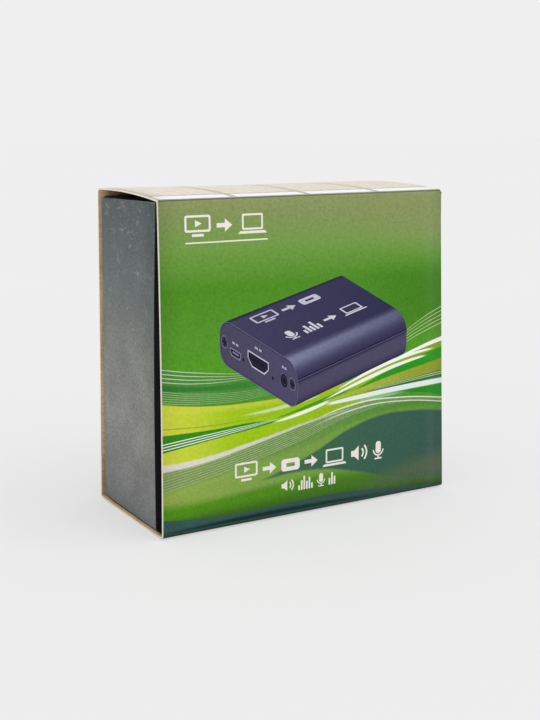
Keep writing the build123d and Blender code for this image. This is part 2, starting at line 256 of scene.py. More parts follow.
@dataclass(frozen=True)
class Block:
    """A soft-edged rectangle of ink, in mm, which a pitch repeats along and up the panel.

    A broken one shows in uneven patches only.
    """

    middle: Point
    size: Point
    start: str
    end: str
    pitch: Point = (FAR, FAR)
    blend: float = 0.25
    amount: float = 1.0
    broken: bool = False

    def mask(self, graph: Graph, across: Any, up: Any, panel: Panel) -> Any:
        """Add the nodes that say how much of this ink lies at a place.

        Args:
            graph: the material.
            across: the place along the panel, as a share of its width.
            up: the place up the panel, as a share of its height.
            panel: the panel's place and size.

        Returns:
            The cover, from 0 to 1.
        """
        cover: Any = self.amount
        for share, length, middle, size, pitch in zip(
            (across, up), panel.size, self.middle, self.size, self.pitch
        ):
            place = graph.add("Math", {0: share, 1: length, 2: -middle}, operation="MULTIPLY_ADD")
            near = graph.add("Math", {0: place, 1: pitch / 2, 2: -pitch / 2}, operation="WRAP")
            off = graph.add("Math", {0: near}, operation="ABSOLUTE")
            limits = {0: off, 1: size / 2 + self.blend / 2, 2: size / 2 - self.blend / 2}
            inside = graph.add("MapRange", limits, **SOFT)
            cover = graph.add("Math", {0: inside, 1: cover}, operation="MULTIPLY")
        if self.broken:
            along = graph.add("VectorMath", {0: graph.place, 1: BROKEN_ROW}, operation="MULTIPLY")
            patches = graph.add("TexNoise", {"Vector": along, "Scale": 1.0, "Detail": 1.0})
            kept = graph.add("MapRange", {0: patches, 1: 0.4, 2: 0.5})
            cover = graph.add("Math", {0: kept, 1: cover}, operation="MULTIPLY")
        return cover


@dataclass(frozen=True)
class PrintedBoard:
    """Offset print on white-lined chipboard under a satin film.

    The film gives a soft, slightly uneven sheen, and the ink a faint mottle.
    """

    name: str
    panel: Panel
    ground: Sequence[tuple[float, str]]
    inks: Sequence[Band | Block] = ()
    roughness: float = 0.36
    specular: float = 0.2
    mottle: float = 1.1
    mottle_depth: float = 0.45
    film_ripple: float = 1.6
    ripple_depth: float = 0.006

    def make(self) -> bpy.types.Material:
        """Build the material.

        Returns:
            The material.
        """
        graph = Graph(bpy.data.materials.new(self.name))
        parts = {key: graph.add("SeparateXYZ", {0: graph.place}, out=key) for key in "XYZ"}
        shares = []
        for key, low, length in zip("X" + self.panel.lie.value, self.panel.low, self.panel.size):
            terms = {0: parts[key], 1: 1 / length, 2: -low / length}
            shares.append(graph.add("Math", terms, operation="MULTIPLY_ADD"))
        across, up = shares
        height = self.panel.size[1]
        stops = [(place / height, under_film(code)) for place, code in self.ground]
        colour = graph.add("ValToRGB", {0: up}, ramp=stops)
        for ink in self.inks:
            tint = {0: across, 6: under_film(ink.start), 7: under_film(ink.end)}
            over = graph.add("Mix", tint, **MIX)
            cover = ink.mask(graph, across, up, self.panel)
            colour = graph.add("Mix", {0: cover, 6: colour, 7: over}, **MIX)
        cloud = {"Vector": graph.place, "Scale": 1 / self.mottle, "Detail": 4.0, "Roughness": 0.8}
        shade = graph.add("TexNoise", cloud)
        colour = graph.add("Mix", {0: self.mottle_depth, 6: colour, 7: shade}, **OVERLAY)
        gloss = {0: shade, 3: self.roughness - 0.05, 4: self.roughness + 0.07}
        ripple = graph.add("TexNoise", {"Vector": graph.place, "Scale": 1 / self.film_ripple})
        shader = {"Base Color": colour, "Roughness": graph.add("MapRange", gloss)}
        shader |= {"IOR": 1.48, "Specular IOR Level": self.specular}
        return graph.close(shader, ripple, self.ripple_depth)


@dataclass(frozen=True)
class BareCard:
    """Uncoated card: matt, with short fibres lying along the board and a few darker specks.

    Real fibres are about 0.03 mm thick. They are drawn as coarse as they need to be to show.
    A painted shade colour darkens it a little way in from both mouths, for the shadowed gap beside
    the drawer, and fades out further in; its places are in mm from the mouths, and it is not painted
    in the corner at the back.
    """

    name: str
    pale: str
    dark: str
    fibre: float = 0.5
    stretch: tuple[float, float, float] = (0.25, 1.0, 1.0)
    speck: float = 3.0
    roughness: float = 0.82
    relief: float = 0.03
    # Painted shade near the mouths: its colour, the mouth's place, where it starts and is full, where it has
    # faded out, and the back corner kept clear of it, in mm
    painted_shade_colour: str = ""
    mouth: float = 60.0
    edge: float = 0.9
    reach: float = 2.1
    painted_light_fade: float = 16.0
    corner: Point = (27.0, 22.5)

    def make(self) -> bpy.types.Material:
        """Build the material.

        Returns:
            The material.
        """
        graph = Graph(bpy.data.materials.new(self.name))
        along = graph.add("VectorMath", {0: graph.place, 1: self.stretch}, operation="MULTIPLY")
        fibres = graph.add("TexNoise", {"Vector": along, "Scale": 1 / self.fibre, "Detail": 3.0})
        clouds = graph.add("TexNoise", {"Vector": graph.place, "Scale": 0.08, "Detail": 3.0})
        both = graph.add("Math", {0: fibres, 1: clouds}, operation="ADD")
        tone = graph.add("MapRange", {0: both, 1: 0.75, 2: 1.25})
        colour = graph.add("Mix", {0: tone, 6: linear(self.dark), 7: linear(self.pale)}, **MIX)
        cells = graph.add("TexVoronoi", {"Vector": graph.place, "Scale": 1 / self.speck})
        specks = graph.add("MapRange", {0: cells, 1: 0.05, 2: 0.02})
        colour = graph.add("Mix", {0: specks, 6: colour, 7: linear(self.dark)}, **MIX)
        # Painted shade: darken the liner a little way in from each mouth, where the drawer leaves a shadowed
        # gap, fading out further in and kept off the back corner
        if self.painted_shade_colour:
            x = graph.add("SeparateXYZ", {0: graph.place})
            off = graph.add("Math", {0: x}, operation="ABSOLUTE")
            inside = graph.add("MapRange", {0: off, 1: self.mouth - self.edge, 2: self.mouth - self.reach})
            painted_shade_fade_out = graph.add("MapRange", {0: off, 1: self.mouth - self.painted_light_fade, 2: self.mouth - self.reach})
            inside = graph.add("Math", {0: inside, 1: painted_shade_fade_out}, operation="MULTIPLY")
            y = graph.add("SeparateXYZ", {0: graph.place}, out=1)
            corner = graph.add("MapRange", {0: y, 1: self.corner[0], 2: self.corner[1]})
            inside = graph.add("Math", {0: inside, 1: corner}, operation="MULTIPLY")
            colour = graph.add("Mix", {0: inside, 6: colour, 7: linear(self.painted_shade_colour)}, **MIX)
        return graph.close({"Base Color": colour, "Roughness": self.roughness}, fibres, self.relief)


@dataclass(frozen=True)
class DrawerFilm:
    """Black-printed card under a thin film, grey at its ends from rub and a painted reflection, and streaked
    where it slides.

    The places are the drawer's own: its foot, height, half length and fold, in mm.

    The grey of the end faces is a cloudy haze of rub and a painted reflection of the bright room,
    with dust specks and worn spots, and painted shade darkens it towards the fold; it stops sharply at
    the fold along the front. The fold is given as places in Y at shares of the height.
    """

    name: str
    low: float
    height: float
    half: float
    fold: Outline
    ink: str = "#07080c"
    worn: str = "#b9b8ae"
    streak: str = "#1e2024"
    # Greys of the ends from foot to top: rub together with a painted reflection of the bright room, lightest
    # a third of the way up and darkest at the top
    rub_and_painted_reflection: Sequence[tuple[float, str]] = (
        (0.0, "#76787a"), (0.12, "#848584"), (0.3, "#8a8a87"), (0.5, "#7f827d"), (0.7, "#697170"),
        (1.0, "#4e595a"),
    )
    rim: Point = (0.9945, 0.998)
    rubbed_across: tuple[float, float, float] = (1.0, 0.42, 1.0)
    slid_along: tuple[float, float, float] = (0.04, 1.0, 1.0)

    def make(self) -> bpy.types.Material:
        """Build the material.

        Returns:
            The material.
        """
        graph = Graph(bpy.data.materials.new(self.name))
        x, y, z = (graph.add("SeparateXYZ", {0: graph.place}, out=key) for key in "XYZ")
        share = {0: z, 1: 1 / self.height, 2: -self.low / self.height}
        up = graph.add("Math", share, operation="MULTIPLY_ADD")
        # The ends' grey by height: rub and a painted reflection
        grey = graph.add("ValToRGB", {0: up}, ramp=[(place, linear(code)) for place, code in self.rub_and_painted_reflection])
        far = graph.add("Math", {0: x}, operation="ABSOLUTE")
        ends = graph.add("MapRange", {0: far, 1: self.half - 0.1, 2: self.half + 0.1})
        curve = [(part, (place - FOLD_ZERO) / FOLD_SPAN) for part, place in self.fold]
        bend = graph.add("FloatCurve", {"Value": up}, curve=curve)
        fold = graph.add("Math", {0: bend, 1: FOLD_SPAN, 2: FOLD_ZERO}, operation="MULTIPLY_ADD")
        behind = graph.add("Math", {0: y, 1: fold}, operation="SUBTRACT")
        # The rub and the painted reflection fade in just behind the fold, so the fold band keeps the black
        # ink
        painted_light_fade = graph.add("MapRange", {0: behind, 2: 0.7}, **SOFT)
        # Painted shade: the ends darken towards the fold, more in their upper half
        painted_shade_at_fold = graph.add("MapRange", {0: up, 1: 0.3, 2: 0.75, 3: 0.93, 4: 0.76})
        light = graph.add("MapRange", {0: behind, 2: 14.0, 3: painted_shade_at_fold, 4: 1.0}, **SOFT)
        cover = graph.add("Math", {0: ends, 1: painted_light_fade}, operation="MULTIPLY")
        cloud = {"Vector": graph.place, "Scale": 0.07, "Detail": 7.0, "Roughness": 0.62}
        shade = graph.add("TexNoise", cloud)
        grey = graph.add("Mix", {0: 0.55, 6: grey, 7: shade}, **OVERLAY)
        fine = {"Vector": graph.place, "Scale": 1.3, "Detail": 3.0, "Roughness": 0.7}
        grit = graph.add("TexNoise", fine)
        grey = graph.add("Mix", {0: 0.85, 6: grey, 7: grit}, **OVERLAY)
        across = graph.add("VectorMath", {0: graph.place, 1: self.rubbed_across}, operation="MULTIPLY")
        rough = {"Vector": across, "Scale": 0.34, "Detail": 8.0, "Roughness": 0.8}
        patches = graph.add("TexNoise", rough)
        high = graph.add("MapRange", {0: up, 1: 0.45, 2: 1.0, 3: 0.62, 4: 0.53})
        over = graph.add("Math", {0: patches, 1: high}, operation="SUBTRACT")
        scuffs = graph.add("MapRange", {0: over, 2: 0.12, 4: 0.5})
        grey = graph.add("Mix", {0: scuffs, 6: grey, 7: linear(self.worn)}, **MIX)
        rim = graph.add("MapRange", {0: up, 1: self.rim[0], 2: self.rim[1], 4: 0.55})
        grey = graph.add("Mix", {0: rim, 6: grey, 7: linear(self.worn)}, **MIX)
        cells = graph.add("TexVoronoi", {"Vector": across, "Scale": 0.42})
        specks = graph.add("MapRange", {0: cells, 1: 0.14, 2: 0.05, 4: 0.8})
        where = graph.add("MapRange", {0: patches, 1: 0.46, 2: 0.6})
        dust = graph.add("Math", {0: specks, 1: where}, operation="MULTIPLY")
        grey = graph.add("Mix", {0: dust, 6: grey, 7: linear(self.worn)}, **MIX)
        # Apply the painted shade towards the fold
        grey = graph.add("VectorMath", {0: grey, "Scale": light}, operation="SCALE")
        along = graph.add("VectorMath", {0: graph.place, 1: self.slid_along}, operation="MULTIPLY")
        slid = graph.add("TexNoise", {"Vector": along, "Scale": 0.3, "Detail": 4.0, "Roughness": 0.5})
        lines = graph.add("MapRange", {0: slid, 1: 0.4, 2: 0.75})
        sides = graph.add("MapRange", {0: ends, 3: 1.0, 4: 0.0})
        streaks = graph.add("Math", {0: lines, 1: sides}, operation="MULTIPLY")
        tint = {0: streaks, 6: linear(self.ink), 7: linear(self.streak)}
        dark = graph.add("Mix", tint, **MIX)
        colour = graph.add("Mix", {0: cover, 6: dark, 7: grey}, **MIX)
        gloss = graph.add("MapRange", {0: shade, 1: 0.3, 2: 0.7, 3: 0.5, 4: 0.66})
        ripple = graph.add("TexNoise", {"Vector": graph.place, "Scale": 0.5, "Detail": 2.0})
        shown = graph.add("Math", {0: cover, 1: sides}, operation="MAXIMUM")
        sheen = graph.add("MapRange", {0: shown, 3: 0.012, 4: 0.25})
        shader = {"Base Color": colour, "Roughness": gloss, "Specular IOR Level": sheen}
        return graph.close(shader, ripple, 0.02)


@dataclass(frozen=True)
class Metal:
    """A metal skin: blasted and anodised, plated or rolled.

    The grain is that of the blasting or of the drawing lines, which a stretch lays along X. Both are
    under 0.1 mm in life, and are drawn as coarse as they need to be to show.
    """

    name: str
    pale: str
    dark: str
    grain: float
    stretch: tuple[float, float, float] = (1.0, 1.0, 1.0)
    roughness: float = 0.35
    relief: float = 0.004
    metallic: float = 1.0

    def make(self) -> bpy.types.Material:
        """Build the material.

        Returns:
            The material.
        """
        graph = Graph(bpy.data.materials.new(self.name))
        along = graph.add("VectorMath", {0: graph.place, 1: self.stretch}, operation="MULTIPLY")
        lines = graph.add("TexNoise", {"Vector": along, "Scale": 1 / self.grain, "Detail": 3.0})
        tone = graph.add("MapRange", {0: lines, 1: 0.3, 2: 0.7})
        colour = graph.add("Mix", {0: tone, 6: linear(self.dark), 7: linear(self.pale)}, **MIX)
        gloss = graph.add("MapRange", {0: lines, 3: self.roughness - 0.06, 4: self.roughness + 0.08})
        shader = {"Base Color": colour, "Metallic": self.metallic, "Roughness": gloss}
        return graph.close(shader, lines, self.relief)


@dataclass(frozen=True)
class Moulding:
    """A moulded or fired body: plastic, resin, ferrite, ceramic or soft silicone.

    Its skin takes the grain of the mould, drawn coarser than in life so that it shows, and the
    colour clouds a little.
    """

    name: str
    pale: str
    dark: str
    grain: float = 0.6
    roughness: float = 0.5
    relief: float = 0.008

    def make(self) -> bpy.types.Material:
        """Build the material.

        Returns:
            The material.
        """
        graph = Graph(bpy.data.materials.new(self.name))
        cloud = graph.add("TexNoise", {"Vector": graph.place, "Scale": 0.25, "Detail": 4.0})
        tone = graph.add("MapRange", {0: cloud, 1: 0.3, 2: 0.7})
        colour = graph.add("Mix", {0: tone, 6: linear(self.dark), 7: linear(self.pale)}, **MIX)
        skin = graph.add("TexNoise", {"Vector": graph.place, "Scale": 1 / self.grain, "Detail": 2.0})
        gloss = graph.add("MapRange", {0: skin, 3: self.roughness - 0.06, 4: self.roughness + 0.06})
        return graph.close({"Base Color": colour, "Roughness": gloss}, skin, self.relief)


@dataclass(frozen=True)
class Laminate:
    """Glass-epoxy board under green lacquer, with raised copper tracks and bare gilt pads."""

    name: str
    lacquer: str = "#0f4a2c"
    track: str = "#1c6b40"
    gilt: str = "#c9a24a"
    track_pitch: float = 1.8
    pad_pitch: float = 4.0

    def make(self) -> bpy.types.Material:
        """Build the material.

        Returns:
            The material.
        """
        graph = Graph(bpy.data.materials.new(self.name))
        bent = graph.add("TexNoise", {"Vector": graph.place, "Scale": 0.12}, out="Color")
        turned = graph.add("VectorMath", {0: bent, "Scale": 9.0}, operation="SCALE")
        place = graph.add("VectorMath", {0: graph.place, 1: turned}, operation="ADD")
        bands = {"Vector": place, "Scale": 1 / self.track_pitch, "Distortion": 0.0}
        wave = graph.add("TexWave", bands, out="Fac", bands_direction="X")
        tracks = graph.add("MapRange", {0: wave, 1: 0.7, 2: 0.8})
        colour = graph.add("Mix", {0: tracks, 6: linear(self.lacquer), 7: linear(self.track)}, **MIX)
        cells = graph.add("TexVoronoi", {"Vector": graph.place, "Scale": 1 / self.pad_pitch})
        pads = graph.add("MapRange", {0: cells, 1: 0.13, 2: 0.11})
        colour = graph.add("Mix", {0: pads, 6: colour, 7: linear(self.gilt)}, **MIX)
        return graph.close({"Base Color": colour, "Roughness": 0.35}, tracks, 0.035)


@dataclass(frozen=True)
class SheetInk:
    """Opaque ink laid flat on a panel, each shape in the colour that its corners carry."""

    name: str
    attribute: str
    roughness: float = 0.36
    mottle_per_mm: float = 0.9
    mottle_depth: float = 0.4

    def make(self) -> bpy.types.Material:
        """Build the material.

        Returns:
            The material.
        """
        graph = Graph(bpy.data.materials.new(self.name))
        colour = graph.add("Attribute", out="Color", attribute_name=self.attribute)
        cloud = {"Vector": graph.place, "Scale": self.mottle_per_mm, "Detail": 4.0, "Roughness": 0.85}
        shade = graph.add("TexNoise", cloud)
        mixed = {0: self.mottle_depth, 6: colour, 7: shade}
        colour = graph.add("Mix", mixed, **OVERLAY)
        gloss = graph.add("MapRange", {0: shade, 3: self.roughness - 0.05, 4: self.roughness + 0.07})
        shader = {"Base Color": colour, "Roughness": gloss, "IOR": 1.48, "Specular IOR Level": 0.2}
        return graph.close(shader, shade, 0.004)


# Modelling

class Pick(Enum):
    """What a selection takes."""

    EDGES = "EDGE"
    FACES = "FACE"


class Workpiece:
    """A mesh on the bench, shaped with the editing tools and then dressed."""

    def __init__(self, name: str, low: Vector, high: Vector) -> None:
        """Start from a block.

        Args:
            name: the piece's name.
            low: the block's lowest corner, in metres.
            high: the block's highest corner, in metres.
        """
        bpy.ops.object.select_all(action="DESELECT")
        bpy.ops.mesh.primitive_cube_add(size=1.0, location=(low + high) / 2, scale=high - low)
        self.piece = bpy.context.object
        self.piece.name = name
        self.piece.data.name = name
        bpy.ops.object.transform_apply(location=True, rotation=True, scale=True)
        bpy.ops.object.mode_set(mode="EDIT")

    def pick(self, kind: Pick, test: Test) -> None:
        """Select what passes a test, and nothing else.

        Args:
            kind: edges or faces.
            test: says yes or no to a middle and a face's normal, or an edge's direction.
        """
        bpy.ops.mesh.select_mode(type=kind.value)
        bpy.ops.mesh.select_all(action="DESELECT")
        mesh = bmesh.from_edit_mesh(self.piece.data)
        mesh.normal_update()
        for item in mesh.faces if kind is Pick.FACES else mesh.edges:
            corners = [corner.co for corner in item.verts]
            middle = sum(corners, Vector()) / len(corners)
            aim = item.normal if kind is Pick.FACES else (corners[1] - corners[0]).normalized()
            item.select_set(test(middle, aim))
        mesh.select_flush_mode()
        bmesh.update_edit_mesh(self.piece.data)

    def cut(self, point: Vector, aim: Vector) -> None:
        """Cut the whole mesh by a plane, keeping both sides.

        Args:
            point: a place on the plane.
            aim: the plane's normal.
        """
        bpy.ops.mesh.select_all(action="SELECT")
        bpy.ops.mesh.bisect(plane_co=point, plane_no=aim)

    def move(self, push: Push) -> None:
        """Move every vertex.

        Args:
            push: gives a vertex's new place from its old one, both in metres.
        """
        mesh = bmesh.from_edit_mesh(self.piece.data)
        for vertex in mesh.verts:
            vertex.co = push(vertex.co.copy())
        bmesh.update_edit_mesh(self.piece.data)

    def release(self, smooth_angle: float = 35.0) -> bpy.types.Object:
        """Leave edit mode with smooth shading.

        Args:
            smooth_angle: the sharpest angle that is still shaded smooth, in degrees.

        Returns:
            The piece.
        """
        bpy.ops.object.mode_set(mode="OBJECT")
        bpy.ops.object.shade_smooth_by_angle(angle=math.radians(smooth_angle))
        return self.piece


def apply_modifier(piece: bpy.types.Object, kind: str, **settings: Any) -> None:
    """Add a modifier to a piece and apply it.

    Args:
        piece: the piece.
        kind: the modifier's type.
        settings: the modifier's own settings.
    """
    bpy.ops.object.select_all(action="DESELECT")
    piece.select_set(True)
    bpy.context.view_layer.objects.active = piece
    modifier = piece.modifiers.new(kind.title(), kind)
    for name, value in settings.items():
        setattr(modifier, name, value)
    bpy.ops.object.modifier_apply(modifier=modifier.name)


def join(name: str, pieces: Sequence[bpy.types.Object]) -> bpy.types.Object:
    """Join pieces to one.

    Args:
        name: the name of the whole.
        pieces: the pieces, of which the first takes in the others.

    Returns:
        The joined piece.
    """
    bpy.ops.object.select_all(action="DESELECT")
    for piece in pieces:
        piece.select_set(True)
    bpy.context.view_layer.objects.active = pieces[0]
    bpy.ops.object.join()
    pieces[0].name = name
    pieces[0].data.name = name
    return pieces[0]


# Flat shapes

def rectangle(middle: Point, size: Point, radius: float = 0.0) -> list[Point]:
    """Give the outline of a rectangle with round corners.

    Args:
        middle: its middle in mm.
        size: its width and height.
        radius: the radius of its corners.

    Returns:
        The outline's points.
    """
    half_width, half_height = size[0] / 2 - radius, size[1] / 2 - radius
    points = []
    for turn, (right, up) in enumerate(((1, 1), (-1, 1), (-1, -1), (1, -1))):
        steps = 4 if radius else 0
        for i in range(steps + 1):
            angle = math.radians(90 * turn + (90 * i / steps if steps else 0))
            across = middle[0] + right * half_width + radius * math.cos(angle)
            points.append((across, middle[1] + up * half_height + radius * math.sin(angle)))
    return points


def ring_arc(
    middle: Point, inner: float, outer: float, start: float, end: float, steps: int = 16
) -> list[Point]:
    """Give the outline of a bent stroke.

    Args:
        middle: the middle of its circles in mm.
        inner: the inner radius.
        outer: the outer radius.
        start: the angle where it starts, in degrees.
        end: the angle where it ends.
        steps: how many chords each side has.

    Returns:
        The outline's points.
    """
    angles = [math.radians(start + (end - start) * i / steps) for i in range(steps + 1)]
    rim = [(middle[0] + outer * math.cos(a), middle[1] + outer * math.sin(a)) for a in angles]
    back = [(middle[0] + inner * math.cos(a), middle[1] + inner * math.sin(a)) for a in angles[::-1]]
    return rim + back


def circle(middle: Point, radius: float, steps: int = 20) -> list[Point]:
    """Give the outline of a circle.

    Args:
        middle: its middle in mm.
        radius: its radius in mm.
        steps: how many chords it has.

    Returns:
        The outline's points.
    """
    angles = [math.tau * i / steps for i in range(steps)]
    return [(middle[0] + radius * math.cos(a), middle[1] + radius * math.sin(a)) for a in angles]


@dataclass(frozen=True)
class Mark:
    """A filled flat shape: outlines in mm, and the colours at its left and right ends."""

    outlines: Sequence[Outline]
    start: str
    end: str = ""


class Sign(Enum):
    """Plain pictograms: the width of each and its outlines, in shares of the row's height."""

    SCREEN = (1.3, (
        rectangle((0.65, 0.62), (1.3, 0.76), 0.1),
        rectangle((0.65, 0.62), (1.1, 0.56), 0.04),
        [(0.52, 0.46), (0.86, 0.62), (0.52, 0.78)],
        rectangle((0.65, 0.1), (0.6, 0.12), 0.03),
    ))
    ARROW = (0.8, (
        [(0.0, 0.4), (0.42, 0.4), (0.42, 0.2), (0.8, 0.5), (0.42, 0.8), (0.42, 0.6), (0.0, 0.6)],
    ))
    ADAPTER = (1.1, (
        rectangle((0.55, 0.5), (1.1, 0.64), 0.16),
        rectangle((0.55, 0.5), (0.5, 0.2), 0.04),
    ))
    COMPUTER = (1.5, (
        rectangle((0.75, 0.6), (1.1, 0.74), 0.08),
        rectangle((0.75, 0.6), (0.92, 0.56), 0.03),
        [(0.0, 0.06), (1.5, 0.06), (1.4, 0.18), (0.1, 0.18)],
    ))
    SPEAKER = (1.1, (
        [(0.0, 0.34), (0.2, 0.34), (0.48, 0.1), (0.48, 0.9), (0.2, 0.66), (0.0, 0.66)],
        ring_arc((0.46, 0.5), 0.26, 0.36, -45, 45),
        ring_arc((0.46, 0.5), 0.48, 0.58, -45, 45),
    ))
    MICROPHONE = (0.7, (
        rectangle((0.35, 0.64), (0.34, 0.66), 0.16),
        ring_arc((0.35, 0.52), 0.27, 0.35, 180, 360),
        rectangle((0.35, 0.11), (0.08, 0.18)),
        rectangle((0.35, 0.03), (0.46, 0.08)),
    ))


def level_bars(heights: Sequence[float]) -> tuple[float, list[Outline]]:
    """Give a set of level bars.

    Args:
        heights: the height of each as a share of the row's.

    Returns:
        Their width together and their outlines, in shares of the row's height.
    """
    shapes = [rectangle((0.08 + 0.22 * i, tall / 2), (0.14, tall)) for i, tall in enumerate(heights)]
    return 0.22 * len(heights), shapes


class SignRow:
    """Plain pictograms of a fixed height, set in a row."""

    gap = 0.3

    def __init__(self, corner: Point, height: float) -> None:
        """Set where the row starts and how tall it is.

        Args:
            corner: the row's lower left corner in mm.
            height: the height of each sign in mm.
        """
        self.corner = corner
        self.height = height
        self.outlines: list[list[Outline]] = []

    def put(self, *signs: Sign | Sequence[float]) -> "SignRow":
        """Add signs and step on after each.

        Args:
            signs: each a pictogram, or the heights of level bars as shares of the row's height.

        Returns:
            The row itself.
        """
        for sign in signs:
            width, shapes = sign.value if isinstance(sign, Sign) else level_bars(sign)
            left, low = self.corner
            self.outlines.append(
                [[(left + x * self.height, low + y * self.height) for x, y in shape] for shape in shapes]
            )
            self.corner = (left + (width + self.gap) * self.height, low)
        return self

    def marks(self, colour: str) -> list[Mark]:
        """Give a mark of one colour for each sign."""
        return [Mark(shapes, colour) for shapes in self.outlines]


# The two rows on the adapter's top, and the row that shows its whole use
PICTURE_SIGNS = (Sign.SCREEN, Sign.ARROW, Sign.ADAPTER)
SOUND_SIGNS = (Sign.MICROPHONE, (0.4, 0.8, 0.55, 0.95, 0.5), Sign.ARROW, Sign.COMPUTER)
CHAIN_SIGNS = (*PICTURE_SIGNS, Sign.ARROW, Sign.COMPUTER)


class FlatPrint:
    """Marks on a panel, as ink with a thickness of its own."""

    attribute = "ink"
    thickness = 0.008

    def __init__(self, name: str, place: Matrix, lift: float = 0.0) -> None:
        """Start an empty print.

        Args:
            name: the piece's name.
            place: turns a place on the panel, in metres, to the object's own, with Z outwards.
            lift: how far the lowest layer stands off the panel, in mm.
        """
        self.name = name
        self.place = place
        self.lift = lift
        self.layers = 0
        self.pieces: list[bpy.types.Object] = []

    def lay(self, marks: Sequence[Mark]) -> None:
        """Lay marks side by side, over all the layers before them.

        Args:
            marks: the layer's marks, none of which covers another.
        """
        level = self.lift + self.thickness * (self.layers + 0.5)
        place = self.place @ Matrix.Translation((0, 0, level * MM))
        for mark in marks:
            mesh = self.cut_out(mark)
            self.paint(mesh, mark)
            mesh.transform(place)
            piece = bpy.data.objects.new(self.name, mesh)
            bpy.context.scene.collection.objects.link(piece)
            self.pieces.append(piece)
        self.layers += 1

    def cut_out(self, mark: Mark) -> bpy.types.Mesh:
        """Give a mark's filled shape as a thin flat mesh round the level of its middle.

        Args:
            mark: the mark.

        Returns:
            The mesh.
        """
        curve = bpy.data.curves.new(self.name, "CURVE")
        curve.dimensions = "2D"
        curve.fill_mode = "BOTH"
        curve.extrude = self.thickness * MM / 2
        for outline in mark.outlines:
            line = curve.splines.new("POLY")
            line.points.add(len(outline) - 1)
            for point, (across, up) in zip(line.points, outline):
                point.co = (across * MM, up * MM, 0, 1)
            line.use_cyclic_u = True
        flat = bpy.data.objects.new(self.name, curve)
        mesh = bpy.data.meshes.new_from_object(flat)
        bpy.data.objects.remove(flat)
        return mesh

    def paint(self, mesh: bpy.types.Mesh, mark: Mark) -> None:
        """Give each corner of a mark's mesh its colour, blended from left to right.

        Args:
            mesh: the mark's mesh.
            mark: the mark.
        """
        left, right = under_film(mark.start), under_film(mark.end or mark.start)
        places = [vertex.co.x for vertex in mesh.vertices]
        low, span = min(places), max(max(places) - min(places), MM * MM)
        colours = mesh.color_attributes.new(self.attribute, "FLOAT_COLOR", "CORNER")
        for corner in mesh.loops:
            part = (places[corner.vertex_index] - low) / span
            colours.data[corner.index].color = [a + (b - a) * part for a, b in zip(left, right)]

    def finish(
        self, material: bpy.types.Material, levels: Sequence[float] = (), push: Push | None = None
    ) -> bpy.types.Object:
        """Join the marks, bend them with the panel and give them their ink.

        Args:
            material: the ink's material.
            levels: the heights at which the panel's own mesh is cut, in metres.
            push: moves a place on the flat panel to the bent one.

        Returns:
            The piece.
        """
        piece = join(self.name, self.pieces)
        bpy.ops.object.mode_set(mode="EDIT")
        for level in levels:
            bpy.ops.mesh.select_all(action="SELECT")
            bpy.ops.mesh.bisect(plane_co=(0, 0, level), plane_no=(0, 0, 1))
        bpy.ops.object.mode_set(mode="OBJECT")
        if push:
            for vertex in piece.data.vertices:
                vertex.co = push(vertex.co.copy())
        piece.data.materials.clear()
        piece.data.materials.append(material)
        return piece


# The sleeve

def curve_value(points: Outline, at: float) -> float:
    """Read a broken line at a place, with its end values beyond its ends.

    Args:
        points: the line's corners, from its lowest place to its highest.
        at: the place.

    Returns:
        The line's value there.
    """
    if at <= points[0][0]:
        return points[0][1]
    for (x0, y0), (x1, y1) in zip(points, points[1:]):
        if at <= x1:
            return y0 + (y1 - y0) * (at - x0) / (x1 - x0)
    return points[-1][1]


